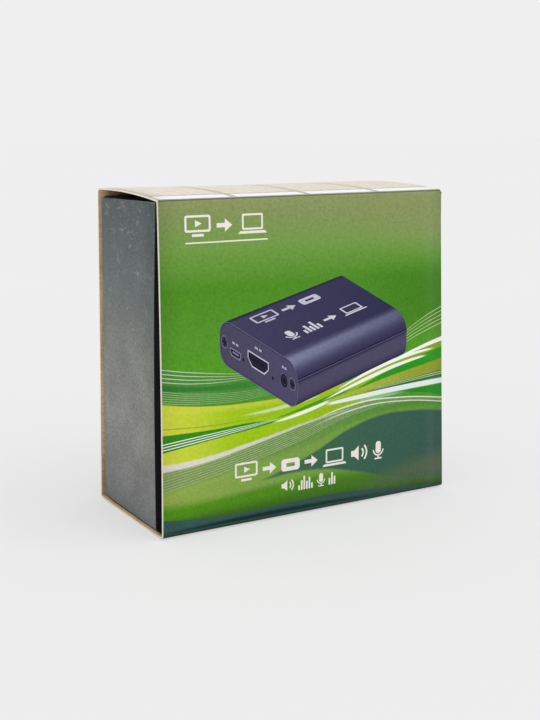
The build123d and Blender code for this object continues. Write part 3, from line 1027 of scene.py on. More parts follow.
@dataclass
class Sleeve:
    """The printed board tube. All its sizes are in mm.

    The boards have settled: the front bows out, the top rises to the back, the back leans in, the
    foot sags between its creases, and the back corners are pulled in at both mouths.
    """

    width: float = 120.0
    depth: float = 56.5
    height: float = 115.5
    foot: float = 1.2
    board: float = 0.6
    crease: float = 1.1
    strip: float = 24.0
    bow: float = 0.78
    crown: float = 1.0
    lift: float = 1.99
    lift_at_far_end: float = 1.45
    back_crease: float = 1.7
    back_lean: float = 0.8
    rack: float = 0.9
    far_rack: float = 1.5
    lap: float = 14.0
    lap_bevel: float = 0.42
    rows: int = 22
    columns: int = 12
    slices: int = 12

    def settle(self, place: Vector) -> Vector:
        """Bend a place on the square carton to where the real boards have settled.

        Args:
            place: the place in metres.

        Returns:
            The bent place in metres.
        """
        x, y, z = place / MM
        back = min(max((y + self.depth / 2) / self.depth, 0.0), 1.0)
        up = min(max((z - self.foot) / self.height, 0.0), 1.0)
        far = (x + self.width / 2) / self.width
        # The lift falls over the first two fifths from the near mouth
        lift = self.lift + (self.lift_at_far_end - self.lift) * min(far * 2.5, 1.0)
        reach = max(abs(y) - self.strip / 2, 0.0) / (self.depth / 2 - self.strip / 2)
        sag = self.foot * (1 - 0.5 * min(reach, 1.0) ** 4)
        z += up * (lift * back + self.crown * 4 * back * (1 - back)) - (1 - up) * sag
        # The bow dies out in the last eighth before the far mouth
        y -= self.bow * (1 - (2 * up - 1) ** 2) * (1 - back) * (1 - max(far * 8 - 7, 0.0))
        y -= self.back_lean * min(up * 2, 1.0) * back
        x -= self.far_rack * up * max(x / self.width * 2, 0.0) ** 4
        x += self.rack * back * up * max(-x / self.width * 2, 0.0) ** 4
        return Vector((x, y, z)) * MM

    def is_sharp(self, middle: Vector, aim: Vector) -> bool:
        """Say whether an edge runs along X at one of the tube's square corners.

        Args:
            middle: the edge's middle in metres.
            aim: its direction.

        Returns:
            Whether it does.
        """
        side = abs(abs(middle.y) - self.depth / 2 * MM) < CLOSE
        foot, top = self.foot * MM, (self.foot + self.height) * MM
        level = min(abs(middle.z - foot), abs(middle.z - top)) < CLOSE
        return abs(aim.x) > ALONG and side and level

    def levels(self) -> list[float]:
        """Give the heights at which the upright panels are cut, in metres."""
        low, high = self.foot + self.crease, self.foot + self.height - self.back_crease
        return [(low + (high - low) * i / self.rows) * MM for i in range(self.rows + 1)]

    def build(self, materials: dict[str, bpy.types.Material]) -> bpy.types.Object:
        """Model the tube, with its glue lap, and dress it.

        Args:
            materials: the materials of its panels, its liner and its cut edge, by name.

        Returns:
            The sleeve.
        """
        half_width, half_depth = self.width / 2, self.depth / 2
        low = Vector((-half_width, -half_depth, self.foot)) * MM
        high = Vector((half_width, half_depth, self.foot + self.height)) * MM
        tube = Workpiece("printed_sleeve", low, high)
        tube.pick(Pick.FACES, lambda middle, aim: abs(aim.x) > ALONG)
        bpy.ops.mesh.delete(type="FACE")
        waist = MM * half_depth
        tube.pick(Pick.EDGES, lambda middle, aim: abs(aim.x) > ALONG and middle.y > 0 and middle.z > waist)
        bpy.ops.mesh.bevel(offset=self.back_crease * MM, segments=5, affect="EDGES")
        tube.pick(Pick.EDGES, lambda middle, aim: self.is_sharp(middle, aim))
        bpy.ops.mesh.bevel(offset=self.crease * MM, segments=4, affect="EDGES")
        inner = half_depth - self.back_crease
        for level in self.levels()[1:-1]:
            tube.cut(Vector((0, 0, level)), Vector((0, 0, 1)))
        for i in range(1, self.slices):
            tube.cut(Vector((0, -inner + 2 * inner * i / self.slices, 0)) * MM, Vector((0, 1, 0)))
        for i in range(1, self.columns):
            tube.cut(Vector((-half_width + self.width * i / self.columns, 0, 0)) * MM, Vector((1, 0, 0)))
        piece = tube.release()
        names = ["front", "top", "back", "bottom", "liner", "edge"]
        for name in names:
            piece.data.materials.append(materials[name])
        for face in piece.data.polygons:
            upright = abs(face.normal.y) >= abs(face.normal.z)
            pair = ("back", "front") if upright else ("top", "bottom")
            out = face.normal.y if upright else face.normal.z
            face.material_index = names.index(pair[0] if out > 0 else pair[1])
        apply_modifier(
            piece, "SOLIDIFY", thickness=self.board * MM, offset=-1.0, use_even_offset=True,
            material_offset=len(names), material_offset_rim=len(names),
        )
        self.dress_inside(piece, names)
        lap = self.glue_lap(materials["liner"])
        for part in (piece, lap):
            for vertex in part.data.vertices:
                vertex.co = self.settle(vertex.co)
        return join("printed_sleeve", [piece, lap])

    def dress_inside(self, piece: bpy.types.Object, names: Sequence[str]) -> None:
        """Give the inner faces the bare liner and the two mouths the cut edge of the board.

        Args:
            piece: the tube, before it is bent.
            names: the names of its materials, in the order of its slots.
        """
        mouth = (self.width / 2 - self.board / 2) * MM
        half_way = (self.foot + self.height / 2) * MM
        for face in piece.data.polygons:
            centre = face.center
            across = centre.y * face.normal.y + (centre.z - half_way) * face.normal.z
            if abs(face.normal.x) > ALONG and abs(centre.x) > mouth:
                face.material_index = names.index("edge")
            elif across < 0:
                face.material_index = names.index("liner")

    def glue_lap(self, material: bpy.types.Material) -> bpy.types.Object:
        """Model the lap that glues the tube shut inside its back panel.

        Args:
            material: its material.

        Returns:
            The lap, flat against the back panel before it is bent.
        """
        start = self.foot + self.board + self.crease
        back = self.depth / 2 - self.board
        low = Vector((-self.width / 2, back - self.board, start)) * MM
        high = Vector((self.width / 2, back, start + self.lap)) * MM
        lap = Workpiece("glue_lap", low, high)
        top = (start + self.lap) * MM - CLOSE
        face = low.y + CLOSE
        lap.pick(Pick.EDGES, lambda middle, aim: abs(aim.x) > ALONG and middle.z > top and middle.y < face)
        bpy.ops.mesh.bevel(offset=self.lap_bevel * MM, segments=2, affect="EDGES")
        for level in self.levels():
            lap.cut(Vector((0, 0, level)), Vector((0, 0, 1)))
        for i in range(1, self.columns):
            lap.cut(Vector((-self.width / 2 + self.width * i / self.columns, 0, 0)) * MM, Vector((1, 0, 0)))
        piece = lap.release()
        piece.data.materials.append(material)
        return piece


# Points of the front panel's waves: mm from its left edge, and mm up from its foot
FRONT_WAVES: Sequence[Band | Block] = (
    Band(((0, 98), (60, 94), (120, 88)), ((0, 130), (120, 130)), "#7f9858", "#9c9570", 20,
         cover=((0, 0.1), (0.5, 0.5), (1, 0.9))),
    Band(((0, 50), (120, 56)), ((0, 96), (120, 92)), "#4c8a26", "#447f20", 14,
         cover=((0, 0), (0.55, 0), (0.85, 0.7), (1, 0.8))),
    Band(((88, 52), (104, 58.6), (120, 63.6)), ((88, 53), (104, 64.4), (120, 71.6)),
         "#bcd894", "#c8daa0", 0.2, lines=5, stroke=0.14, cover=((0, 0), (0.78, 0), (0.86, 0.85), (1, 0.9))),
    Band(((0, 46), (14, 44), (36, 43), (60, 46)), ((0, 59), (14, 56.4), (36, 54), (60, 57)),
         "#549048", "#3a8a2c", 1.6, cover=((0, 0.9), (0.35, 0.75), (0.5, 0.0), (1, 0.0))),
    Band(((0, 50.6), (14, 49), (36, 48.2), (60, 50)), ((0, 53.4), (14, 51.2), (36, 51), (60, 52)),
         "#2f7434", "#2f8a2a", 0.7, cover=((0, 0.7), (0.3, 0.5), (0.42, 0), (1, 0))),
    Band(((0, 53.4), (14, 51.4), (36, 51.6), (60, 54)), ((0, 59), (14, 56.4), (36, 53.8), (60, 55)),
         "#d5e4b8", "#b9d890", 0.25,
         lines=4, stroke=0.15, cover=((0, 0.95), (0.2, 0.75), (0.35, 0.5), (0.45, 0), (1, 0))),
    Band(((0, 46.4), (14, 44.6), (36, 44.2), (60, 48)), ((0, 51.2), (14, 48.8), (36, 47.6), (60, 50)),
         "#cde0ac", "#a9cf7c", 0.25,
         lines=6, stroke=0.13, cover=((0, 0.9), (0.2, 0.7), (0.35, 0.5), (0.45, 0), (1, 0))),
    Band(((0, 14), (24, 21), (48, 27), (70, 33), (90, 40), (120, 44)),
         ((0, 46.4), (18, 43.8), (36, 43.2), (54, 43.8), (78, 46.6), (100, 53), (120, 57)),
         "#d8de4c", "#8aa81a", 0.35),
    Band(((0, 14), (24, 21), (48, 27), (70, 33), (90, 40), (120, 44)),
         ((0, 44), (18, 42.8), (36, 42.6), (54, 43), (78, 46), (100, 52), (120, 56)),
         "#acd400", "#8ab40e", 2.4, cover=((0, 0.0), (0.14, 0.4), (0.27, 1.0), (0.6, 1.0), (1, 0.4))),
    Band(((0, 37.4), (26, 36.4), (50, 38.2)), ((0, 38.0), (26, 37.0), (50, 38.6)), "#98a01e", "#90a810", 0.3,
         cover=((0, 0.9), (0.3, 0.8), (0.42, 0), (1, 0))),
    Band(((26, 38.6), (40, 38.4), (52, 39.6), (66, 42.4)), ((26, 38.8), (40, 39.8), (52, 41.2), (66, 42.6)),
         "#d2e8a4", "#e2f0c8", 0.4, cover=((0, 0), (0.24, 0), (0.31, 0.8), (0.5, 0.7), (0.56, 0), (1, 0))),
    Band(((0, 29.2), (20, 31.6), (36, 33.4), (46, 34.8)), ((0, 35.6), (20, 35.4), (36, 35.9), (46, 35)),
         "#3f8f10", "#279412", 0.3),
    Band(((0, 29.8), (22, 32.2), (44, 35.2)), ((0, 32.8), (22, 34.4), (44, 35.7)), "#ffffff", "#f2fae8", 0.15,
         lines=3, stroke=0.22, cover=((0, 1), (0.36, 1), (0.4, 0), (1, 0))),
    Band(((42, 35.2), (54, 37.2), (66, 39.8)), ((42, 35.6), (54, 38.4), (66, 41.4)),
         "#4ea014", "#358f14", 0.3, cover=((0, 0), (0.35, 0), (0.4, 0.9), (0.6, 0.9), (0.66, 0), (1, 0))),
    Band(((42, 34.2), (54, 35.6), (66, 38.6)), ((42, 34.6), (54, 37.0), (66, 39.8)),
         "#f4fae4", "#ffffff", 0.2, cover=((0, 0), (0.35, 0), (0.4, 1), (0.54, 1), (0.57, 0), (1, 0))),
    Band(((82, 43), (100, 46.8), (120, 49.6)), ((82, 44), (100, 50.4), (120, 55)),
         "#48a212", "#2f980f", 0.35),
    Band(((64, 39.6), (84, 45.4), (100, 49.6), (118, 52.6)), ((64, 39.9), (84, 46.9), (100, 51), (118, 53)),
         "#ffffff", "#f8fcf4", 0.2, cover=((0, 0), (0.52, 0), (0.58, 1), (0.9, 1), (0.94, 0), (1, 0))),
    Band(((70, 42.8), (86, 48.2), (102, 52.2), (118, 54.4)),
         ((70, 43.2), (86, 49.6), (102, 53.6), (118, 54.9)), "#ffffff", "#fafdf6", 0.2,
         cover=((0, 0), (0.57, 0), (0.62, 1), (0.93, 1), (0.97, 0), (1, 0))),
    Band(((92, 50.4), (108, 54.6), (120, 57)), ((92, 50.8), (108, 56), (120, 59)), "#ffffff", "#fbfff6", 0.2,
         cover=((0, 0), (0.76, 0), (0.8, 1), (1, 1))),
    Band(((68, 39.4), (92, 42.6), (106, 44.6), (120, 45.6)), ((68, 40), (92, 45.2), (106, 48), (120, 50.6)),
         "#dfe68c", "#8f9a1a", 0.3),
    Band(((80, 40.2), (104, 42), (120, 42.8)), ((80, 41), (104, 44.2), (120, 45.8)),
         "#3e6e34", "#3c6a3a", 0.3, cover=((0, 0), (0.66, 0), (0.76, 0.85), (1, 0.85))),
    Band(((84, 41), (104, 42.8), (120, 43.8)), ((84, 41.6), (104, 44), (120, 45.4)),
         "#e8efe0", "#d8e2d4", 0.2, lines=2, stroke=0.2, cover=((0, 0), (0.7, 0), (0.76, 0.95), (1, 0.95))),
    Band(((64, 37.8), (80, 38.6), (96, 39.6), (120, 40.4)), ((64, 38.8), (80, 40.4), (96, 41.7), (120, 42.6)),
         "#f6fbf4", "#eaf2f4", 0.2, cover=((0, 0), (0.54, 0), (0.58, 1), (1, 1))),
    Band(((94, 38.6), (108, 37.8), (120, 35)), ((94, 39.3), (108, 40), (120, 40.2)),
         "#3f9420", "#2a900f", 0.4),
    Band(((74, 36.6), (92, 38), (106, 38.6)), ((74, 37), (92, 39.7), (106, 39)), "#a8d4a4", "#8fc890", 0.4,
         cover=((0, 0), (0.62, 0.3), (0.74, 0.95), (0.88, 0), (1, 0))),
    Band(((0, 12), (26, 17), (52, 23), (80, 31), (100, 33), (120, 31.4)),
         ((0, 24), (26, 27.6), (52, 32.6), (80, 37.4), (100, 38.4), (120, 35.6)), "#86a05c", "#4c8a3a", 1.0),
    Band(((0, 22.2), (16, 23.4), (36, 27.2), (66, 33.4), (90, 36.6)),
         ((0, 25.4), (16, 26.2), (36, 29.4), (66, 34.9), (90, 37.2)), "#ece2da", "#e2e6c4", 0.8,
         cover=((0, 0.95), (0.3, 0.85), (0.55, 0.6), (0.75, 0), (1, 0))),
    Band(((0, 15), (26, 19.6), (52, 25.4), (80, 33.4), (100, 35), (120, 33)),
         ((0, 22), (26, 25.4), (52, 30.6), (80, 36.8), (100, 37.4), (120, 35.2)), "#d8dfbc", "#ece8d4", 0.25,
         lines=7, stroke=0.12, cover=((0, 0.5), (0.3, 0.6), (0.5, 0.6), (0.75, 0.5), (1, 0.4))),
    Band(((56, 31.6), (80, 36.8), (96, 37), (120, 34.2)), ((56, 32.2), (80, 37.7), (96, 37.8), (120, 34.9)),
         "#e6ecd0", "#f0ecdc", 0.3, cover=((0, 0), (0.46, 0), (0.6, 0.9), (1, 0.95))),
    Band(((56, 29.4), (80, 34.9), (96, 35.6), (120, 32.6)), ((56, 30), (80, 35.7), (96, 36.3), (120, 33.3)),
         "#e0e8c8", "#ece8d8", 0.3, cover=((0, 0), (0.46, 0), (0.62, 0.85), (1, 0.9))),
    Band(((0, 5), (60, 10), (120, 5)), ((0, 17), (26, 21), (52, 25.4), (80, 32.4), (100, 34.2), (120, 31.6)),
         "#9cb656", "#649a50", 3.4, cover=((0, 0.9), (0.5, 0.8), (1, 0.8))),
    Band(((0, 3), (40, 5), (80, 8), (120, 5)), ((0, 12.5), (30, 12.4), (60, 14), (120, 10)),
         "#56941c", "#5f9224", 4.5, cover=((0, 1), (0.55, 0.9), (0.78, 0.3), (1, 0))),
    Band(((40, 13.5), (62, 14), (80, 10.5), (100, 5), (120, 3.5)),
         ((40, 15), (60, 21.6), (76, 28.6), (90, 32), (106, 32), (120, 30.2)), "#4c7c56", "#3d5c54", 1.3),
    Band(((70, -8), (120, -8)), ((70, 6), (100, 14), (120, 17)), "#4f8038", "#5a6852", 7.0,
         cover=((0, 0), (0.56, 0), (0.75, 0.8), (1, 0.9))),
    Band(((0, -9), (120, -9)), ((0, 6), (14, 4.6), (34, 3.8), (70, 4.6), (96, 2.6), (120, 0.4)),
         "#40605a", "#405656", 0.6),
    Band(((0, -9), (120, -9)), ((0, 1.6), (14, 2.4), (50, 3), (90, 1.8), (120, 0.3)),
         "#1f333c", "#283c44", 1.4),
    # A dark line along the top crease: partly the print's dark edge, partly painted shade on the curved
    # crease
    Block((60, 115.5), (140, 0.9), "#414e3c", "#464c3c", blend=0.5),
    Block((0, 57), (0.5, 130), "#f8f3e2", "#f8f3e2", blend=0.35),
)


def blend_codes(first: str, second: str, part: float) -> str:
    """Mix two hex colours, with a part of the second from 0 to 1."""
    pairs = ((int(first[i:i + 2], 16), int(second[i:i + 2], 16)) for i in (1, 3, 5))
    return "#" + "".join(f"{round(a + (b - a) * part):02x}" for a, b in pairs)


@dataclass
class AdapterPicture:
    """The printed picture of the adapter: its own sizes, drawn in perspective on the front panel."""

    corner: Point = (37.7, 56.9)
    turn: float = 56.9
    rise: float = 25.5
    distance: float = 880.0
    length: float = 58.9
    half_width: float = 28.7
    half_height: float = 9.0
    top_radius: float = 7.7
    low_radius: float = 5.6
    seam: float = 3.4
    near_top: str = "#4a4664"
    far_top: str = "#353654"
    edge_glow: str = "#70718f"
    glow_width: float = 4.0
    glow_steps: int = 8
    fade: float = 0.4
    screws: Point = (-25.2, 24.6)
    lamps: Point = (-11.4, 10.3)
    power: float = -17.2
    video: float = -0.4
    jack: float = 18.6
    shades: Sequence[tuple[float, str]] = (
        (-35, "#26263e"), (-1, "#393955"), (0, "#74759a"), (8, "#8384a2"), (26, "#8182a0"),
        (38, "#6b6b8b"), (52, "#504e6d"), (66, "#413e5b"), (84, "#3a3753"), (90, "#534e69"),
        (115, "#433f5a"), (150, "#262439"),
    )

    def at(self, along: float, across: float, up: float) -> Point:
        """Give the place on the panel of a point of the adapter, all in mm.

        Args:
            along: how far behind the near end plate it lies.
            across: how far to the right of the middle.
            up: how far above the middle.

        Returns:
            Its place along and up the panel.
        """
        sine, cosine = math.sin(math.radians(self.turn)), math.cos(math.radians(self.turn))
        lift, level = math.sin(math.radians(self.rise)), math.cos(math.radians(self.rise))
        depth = along * cosine * level - across * sine * level - up * lift
        scale = self.distance / (self.distance + depth)
        right = across * cosine + along * sine
        high = (along * cosine - across * sine) * lift + up * level
        return self.corner[0] + right * scale, self.corner[1] + high * scale

    def shade(self, angle: float) -> str:
        """Give the body's colour.

        Args:
            angle: where it faces, in degrees down from the top.

        Returns:
            The colour.
        """
        for (a0, code0), (a1, code1) in zip(self.shades, self.shades[1:]):
            if angle <= a1:
                return blend_codes(code0, code1, max(0.0, (angle - a0) / (a1 - a0)))
        return self.shades[-1][1]

    def section(self, inset: float = 0.0) -> list[tuple[float, float, float]]:
        """Give the body's outline from the far top corner round to the near lower one.

        Args:
            inset: how far inside the outline it runs.

        Returns:
            Each point's place across and up, and its angle down from the top.
        """
        corners = (
            (-1, 1, self.top_radius, range(-90, 1, 8)),
            (1, 1, self.top_radius, range(0, 91, 5)),
            (1, -1, self.low_radius, range(90, 181, 10)),
            (-1, -1, self.low_radius, range(180, 271, 10)),
        )
        points = []
        for right, up, radius, angles in corners:
            across = right * (self.half_width - radius)
            high = up * (self.half_height - radius)
            reach = radius - inset
            for angle in angles:
                turn = math.radians(angle)
                points.append((across + reach * math.sin(turn), high + reach * math.cos(turn), angle))
        return points

    def on_top(self, outline: Outline) -> list[Point]:
        """Lay an outline given along and across on the top."""
        return [self.at(along, across, self.half_height) for along, across in outline]

    def body_layers(self) -> list[list[Mark]]:
        """Draw the body without its near end.

        Returns:
            The long faces and the far rim, over them the top and the seam, and then the signs.
        """
        outline = self.section()
        faces = []
        for (w0, h0, a0), (w1, h1, a1) in zip(outline, outline[1:]):
            angle = (a0 + a1) / 2 if a1 - a0 < 60 else a0
            if -32 < angle < 150:
                near = [self.at(0, w0, h0), self.at(0, w1, h1)]
                far = [self.at(self.length, w1, h1), self.at(self.length, w0, h0)]
                shade = self.shade(angle)
                faded = blend_codes(shade, self.far_top, self.fade) if 0 < angle < 80 else shade
                faces.append(Mark([near + far], shade, faded))
        side = self.half_width
        seam = []
        for low, high, code in ((-0.35, 0.15, "#26243a"), (-0.7, -0.35, "#5a577c")):
            rows = (self.seam + low, self.seam + high)
            near = [self.at(0, side, row) for row in rows]
            far = [self.at(self.length, side, row) for row in rows[::-1]]
            seam.append(Mark([near + far], code))
        return [faces, self.top_face() + seam, self.top_signs()]

    def top_face(self) -> list[Mark]:
        """Draw the flat top, which brightens towards its near long edge and darkens along it.

        Returns:
            Its strips, from the far long edge to the near one.
        """
        edge = self.half_width - self.top_radius
        steps = range(self.glow_steps + 1)
        places = [-edge] + [edge - self.glow_width * (1 - i / self.glow_steps) for i in steps]
        marks = []
        for i, (low, high) in enumerate(zip(places, places[1:])):
            part = (i / self.glow_steps) ** 1.6
            quad = self.on_top([(0, low), (0, high), (self.length, high), (self.length, low)])
            far_glow = blend_codes(self.edge_glow, self.far_top, self.fade)
            near = blend_codes(self.near_top, self.edge_glow, part)
            marks.append(Mark([quad], near, blend_codes(self.far_top, far_glow, part)))
        return marks

    def plate_mark(self, outline: Outline, start: str, end: str = "") -> Mark:
        """Give a mark on the near end plate.

        Args:
            outline: its outline across and up.
            start: the colour of its left end.
            end: the colour of its right end, or nothing for one colour.

        Returns:
            The mark, laid on the panel.
        """
        return Mark([[self.at(0, across, up) for across, up in outline]], start, end)

    def plate_layers(self) -> list[list[Mark]]:
        """Draw the near end plate with its ports, lamps and screws.

        Returns:
            Its layers, from its rim to the deepest marks.
        """
        rims = ((0.0, "#6a678a", ""), (0.35, "#3a3754", "#44415e"), (0.75, "#504c64", "#55506d"))
        layers = [
            [self.plate_mark([(w, h) for w, h, _ in self.section(inset)], start, end)]
            for inset, start, end in rims
        ]
        rings: list[Mark] = []
        holes: list[Mark] = []
        insides: list[Mark] = []
        deepest: list[Mark] = []
        for across in self.screws:
            middle = (across, 0.1)
            rings.append(self.plate_mark(circle(middle, 2.5), "#77748f"))
            holes.append(self.plate_mark(circle(middle, 2.1), "#3c3a54"))
            insides.append(self.plate_mark(rectangle(middle, (2.6, 0.7)), "#121120"))
            deepest.append(self.plate_mark(rectangle(middle, (0.7, 2.6)), "#121120"))
        for layer, grow, code in ((rings, 0.0, "#8e8ba4"), (holes, 0.45, "#1d1b2b")):
            half, high, low = 4.1 - grow, -0.5 - grow, -3.6 + grow
            right = [(half, high), (half, -1.8), (half - 0.8, low)]
            power = [(-half, high), *right, (0.8 - half, low), (-half, -1.8)]
            layer.append(self.plate_mark([(w + self.power, h) for w, h in power], code))
        insides.append(self.plate_mark(rectangle((-17.0, -1.9), (4.6, 0.7)), "#8a86a6"))
        shells = ((rings, 0.0, "#d2cfdf"), (holes, 0.5, "#1c1a2a"), (insides, 1.1, "#2e2b42"))
        for layer, grow, code in shells:
            half, high, low, step = 7.7 - grow, 2.8 - grow, -3.0 + grow, 4.6 - grow * 0.6
            port = [(-half, high), (half, high), (half, -0.2), (step, low), (-step, low), (-half, -0.2)]
            layer.append(self.plate_mark([(w + self.video, h) for w, h in port], code))
        deepest.append(self.plate_mark(rectangle((self.video, 0.1), (9.0, 0.9)), "#100f1a"))
        for across in self.lamps:
            rings.append(self.plate_mark(circle((across, -2.3), 0.7), "#16151f"))
        jack = (
            (rings, 2.9, "#625f80"), (holes, 2.6, "#23212f"), (insides, 1.9, "#3a3750"),
            (deepest, 1.3, "#0e0d15"),
        )
        for layer, radius, code in jack:
            layer.append(self.plate_mark(circle((self.jack, -0.5), radius), code))
        # A broken bar over each port stands for its label
        for across, up, width in ((self.power, 1.9, 4.6), (self.video, 5.5, 5.2), (self.jack, 4.6, 3.4)):
            for place, size in ((-0.26, 0.42), (0.3, 0.36)):
                bar = rectangle((across + width * place, up), (width * size, 0.9))
                rings.append(self.plate_mark(bar, "#b4b1c6"))
        return layers + [rings, holes, insides, deepest]

    def top_signs(self) -> list[Mark]:
        """Draw plain pictograms on the top, in two rows along its length.

        Returns:
            A mark for each pictogram.
        """
        far = SignRow((7.5, 10.2), 8.6).put(*PICTURE_SIGNS)
        near = SignRow((9.5, -9.6), 8.2).put(*SOUND_SIGNS)
        marks = []
        for row, code in ((far, "#c9c6d6"), (near, "#d8d6e2")):
            for mark in row.marks(code):
                outlines = [self.on_top([(a, -b) for a, b in outline]) for outline in mark.outlines]
                marks.append(Mark(outlines, code))
        return marks

    def layers(self) -> list[list[Mark]]:
        """Give the whole picture, from the lowest layer to the highest."""
        return self.body_layers() + self.plate_layers()


@dataclass
class FrontPanelPrint:
    """What is printed on the front panel over its waves: the picture and rows of plain signs."""

    sleeve: Sleeve
    white: str = "#f4efe6"

    def build(self, ink: bpy.types.Material) -> bpy.types.Object:
        """Lay the picture and the signs, bent with the panel.

        Args:
            ink: the ink's material.

        Returns:
            The print.
        """
        sleeve = self.sleeve
        turn = Matrix.Rotation(math.radians(90), 4, "X")
        corner = Vector((-sleeve.width / 2, -sleeve.depth / 2, sleeve.foot)) * MM
        flat = FlatPrint("front_panel_print", Matrix.Translation(corner) @ turn, lift=0.01)
        for layer in [self.sign_marks()] + AdapterPicture().layers():
            flat.lay(layer)
        return flat.finish(ink, sleeve.levels(), sleeve.settle)

    def sign_marks(self) -> list[Mark]:
        """Draw the row at the top left with the bar under it, and the two rows near the foot.

        Returns:
            The marks, none of which covers another.
        """
        upper = SignRow((9.8, 102.4), 7.6).put(Sign.SCREEN, Sign.ARROW, Sign.COMPUTER)
        middle = SignRow((28.0, 15.2), 7.0).put(*CHAIN_SIGNS, Sign.SPEAKER, Sign.MICROPHONE)
        low = SignRow((47.0, 8.6), 5.0)
        low.put(Sign.SPEAKER, (0.35, 0.7, 1.0, 0.6, 0.85, 0.4), Sign.MICROPHONE, (0.5, 0.9, 0.6))
        bar = Mark([rectangle((26.0, 100.6), (32.0, 0.5))], self.white)
        return upper.marks(self.white) + middle.marks(self.white) + low.marks(self.white) + [bar]


@dataclass
class BackPanelPrint:
    """What is printed on the back panel's white field: a row of plain signs over a list of bars."""

    sleeve: Sleeve
    dark: str = "#3c5f3a"
    grey: str = "#8e948a"
    left: float = 18.0
    top: float = 63.0
    pitch: float = 4.6
    bar: float = 1.3
    short_at: float = 4.0
    long_at: float = 34.0
    rows: Sequence[Point] = ((17, 34), (22, 27), (14, 38), (19, 30), (23, 24), (16, 36))

    def build(self, ink: bpy.types.Material) -> bpy.types.Object:
        """Lay the signs and the bars, leaning with the panel.

        Args:
            ink: the ink's material.

        Returns:
            The print.
        """
        sleeve = self.sleeve
        upright = Matrix.Rotation(math.radians(90), 4, "X")
        turn = Matrix.Rotation(math.radians(180), 4, "Z") @ upright
        corner = Vector((sleeve.width / 2, sleeve.depth / 2, sleeve.foot)) * MM
        flat = FlatPrint("back_panel_print", Matrix.Translation(corner) @ turn, lift=0.01)
        signs = SignRow((self.left, 68.0), 7.6).put(*CHAIN_SIGNS)
        flat.lay(signs.marks(self.dark) + self.list_marks())
        return flat.finish(ink, sleeve.levels(), sleeve.settle)

    def list_marks(self) -> list[Mark]:
        """Draw each row of the list: a square dot, a short dark bar and a longer grey one.

        Returns:
            Two marks for each row.
        """
        marks = []
        for i, (short, long) in enumerate(self.rows):
            up = self.top - self.pitch * i
            dot = rectangle((self.left + self.bar / 2, up), (self.bar, self.bar))
            first = rectangle((self.left + self.short_at + short / 2, up), (short, self.bar))
            second = rectangle((self.left + self.long_at + long / 2, up), (long, self.bar))
            marks += [Mark([dot, first], self.dark), Mark([second], self.grey)]
        return marks


# The top's four pale fields, each with rows of broken bars and a white strip before it, in mm
TOP_FIELDS: Sequence[Block] = (
    Block((15.0, 31.0), (27.0, 42.0), "#f0e6d6", "#ece2d0", pitch=(30.0, FAR), blend=0.7),
    Block((2.0, 11.0), (2.6, 0.9), "#a8917a", "#a8917a", (4.3, 2.9), blend=0.5, amount=0.6, broken=True),
    Block((1.0, 12.3), (1.4, 0.8), "#8f7a66", "#8f7a66", (3.1, 2.9), blend=0.5, amount=0.5, broken=True),
    Block((15.0, 4.9), (27.4, 6.6), "#ffffff", "#fdfcf8", pitch=(30.0, FAR), blend=0.5),
    # Along the front crease: a grey band and a dark line, partly the print's edge and partly painted shade on
    # the curved crease
    Block((60.0, 0.9), (140.0, 1.4), "#a3a79a", "#a3a79a", blend=0.8),
    Block((60.0, 0.0), (140.0, 1.0), "#3f4a3c", "#454a3e", blend=0.5),
    Block((0.0, 28.0), (1.0, 80.0), "#fbf5e8", "#fbf5e8", blend=0.4),
)

BACK_FIELDS: Sequence[Block | Band] = (
    Band(((0, 70), (40, 66), (80, 74), (120, 88)), ((0, 130), (120, 130)), "#6f9450", "#8a9668", 8.0),
    Band(((0, -5), (120, -5)), ((0, 12), (50, 20), (90, 18), (120, 9)), "#3f7a34", "#38584a", 2.0),
    Band(((0, 84), (60, 80), (120, 98)), ((0, 92), (60, 89), (120, 110)), "#e6edd0", "#dbe6b8", 0.3,
         lines=4, stroke=0.18),
    Block((60, 57), (98, 70), "#eff0e6", "#eceee2", blend=0.4),
    Block((36, 83), (40, 4), "#4e8a3a", "#5a9440", blend=0.3),
    Block((60, 28.5), (86, 7.0), "#cfdcb4", "#c8d6aa", blend=0.3),
)

FOOT_FIELDS: Sequence[Block] = (
    Block((34, 28), (44, 26), "#e8e9e2", "#e8e9e2", blend=0.4),
    Block((86, 28), (40, 1.2), "#7f8f92", "#7f8f92", pitch=(FAR, 5.0), amount=0.5),
)


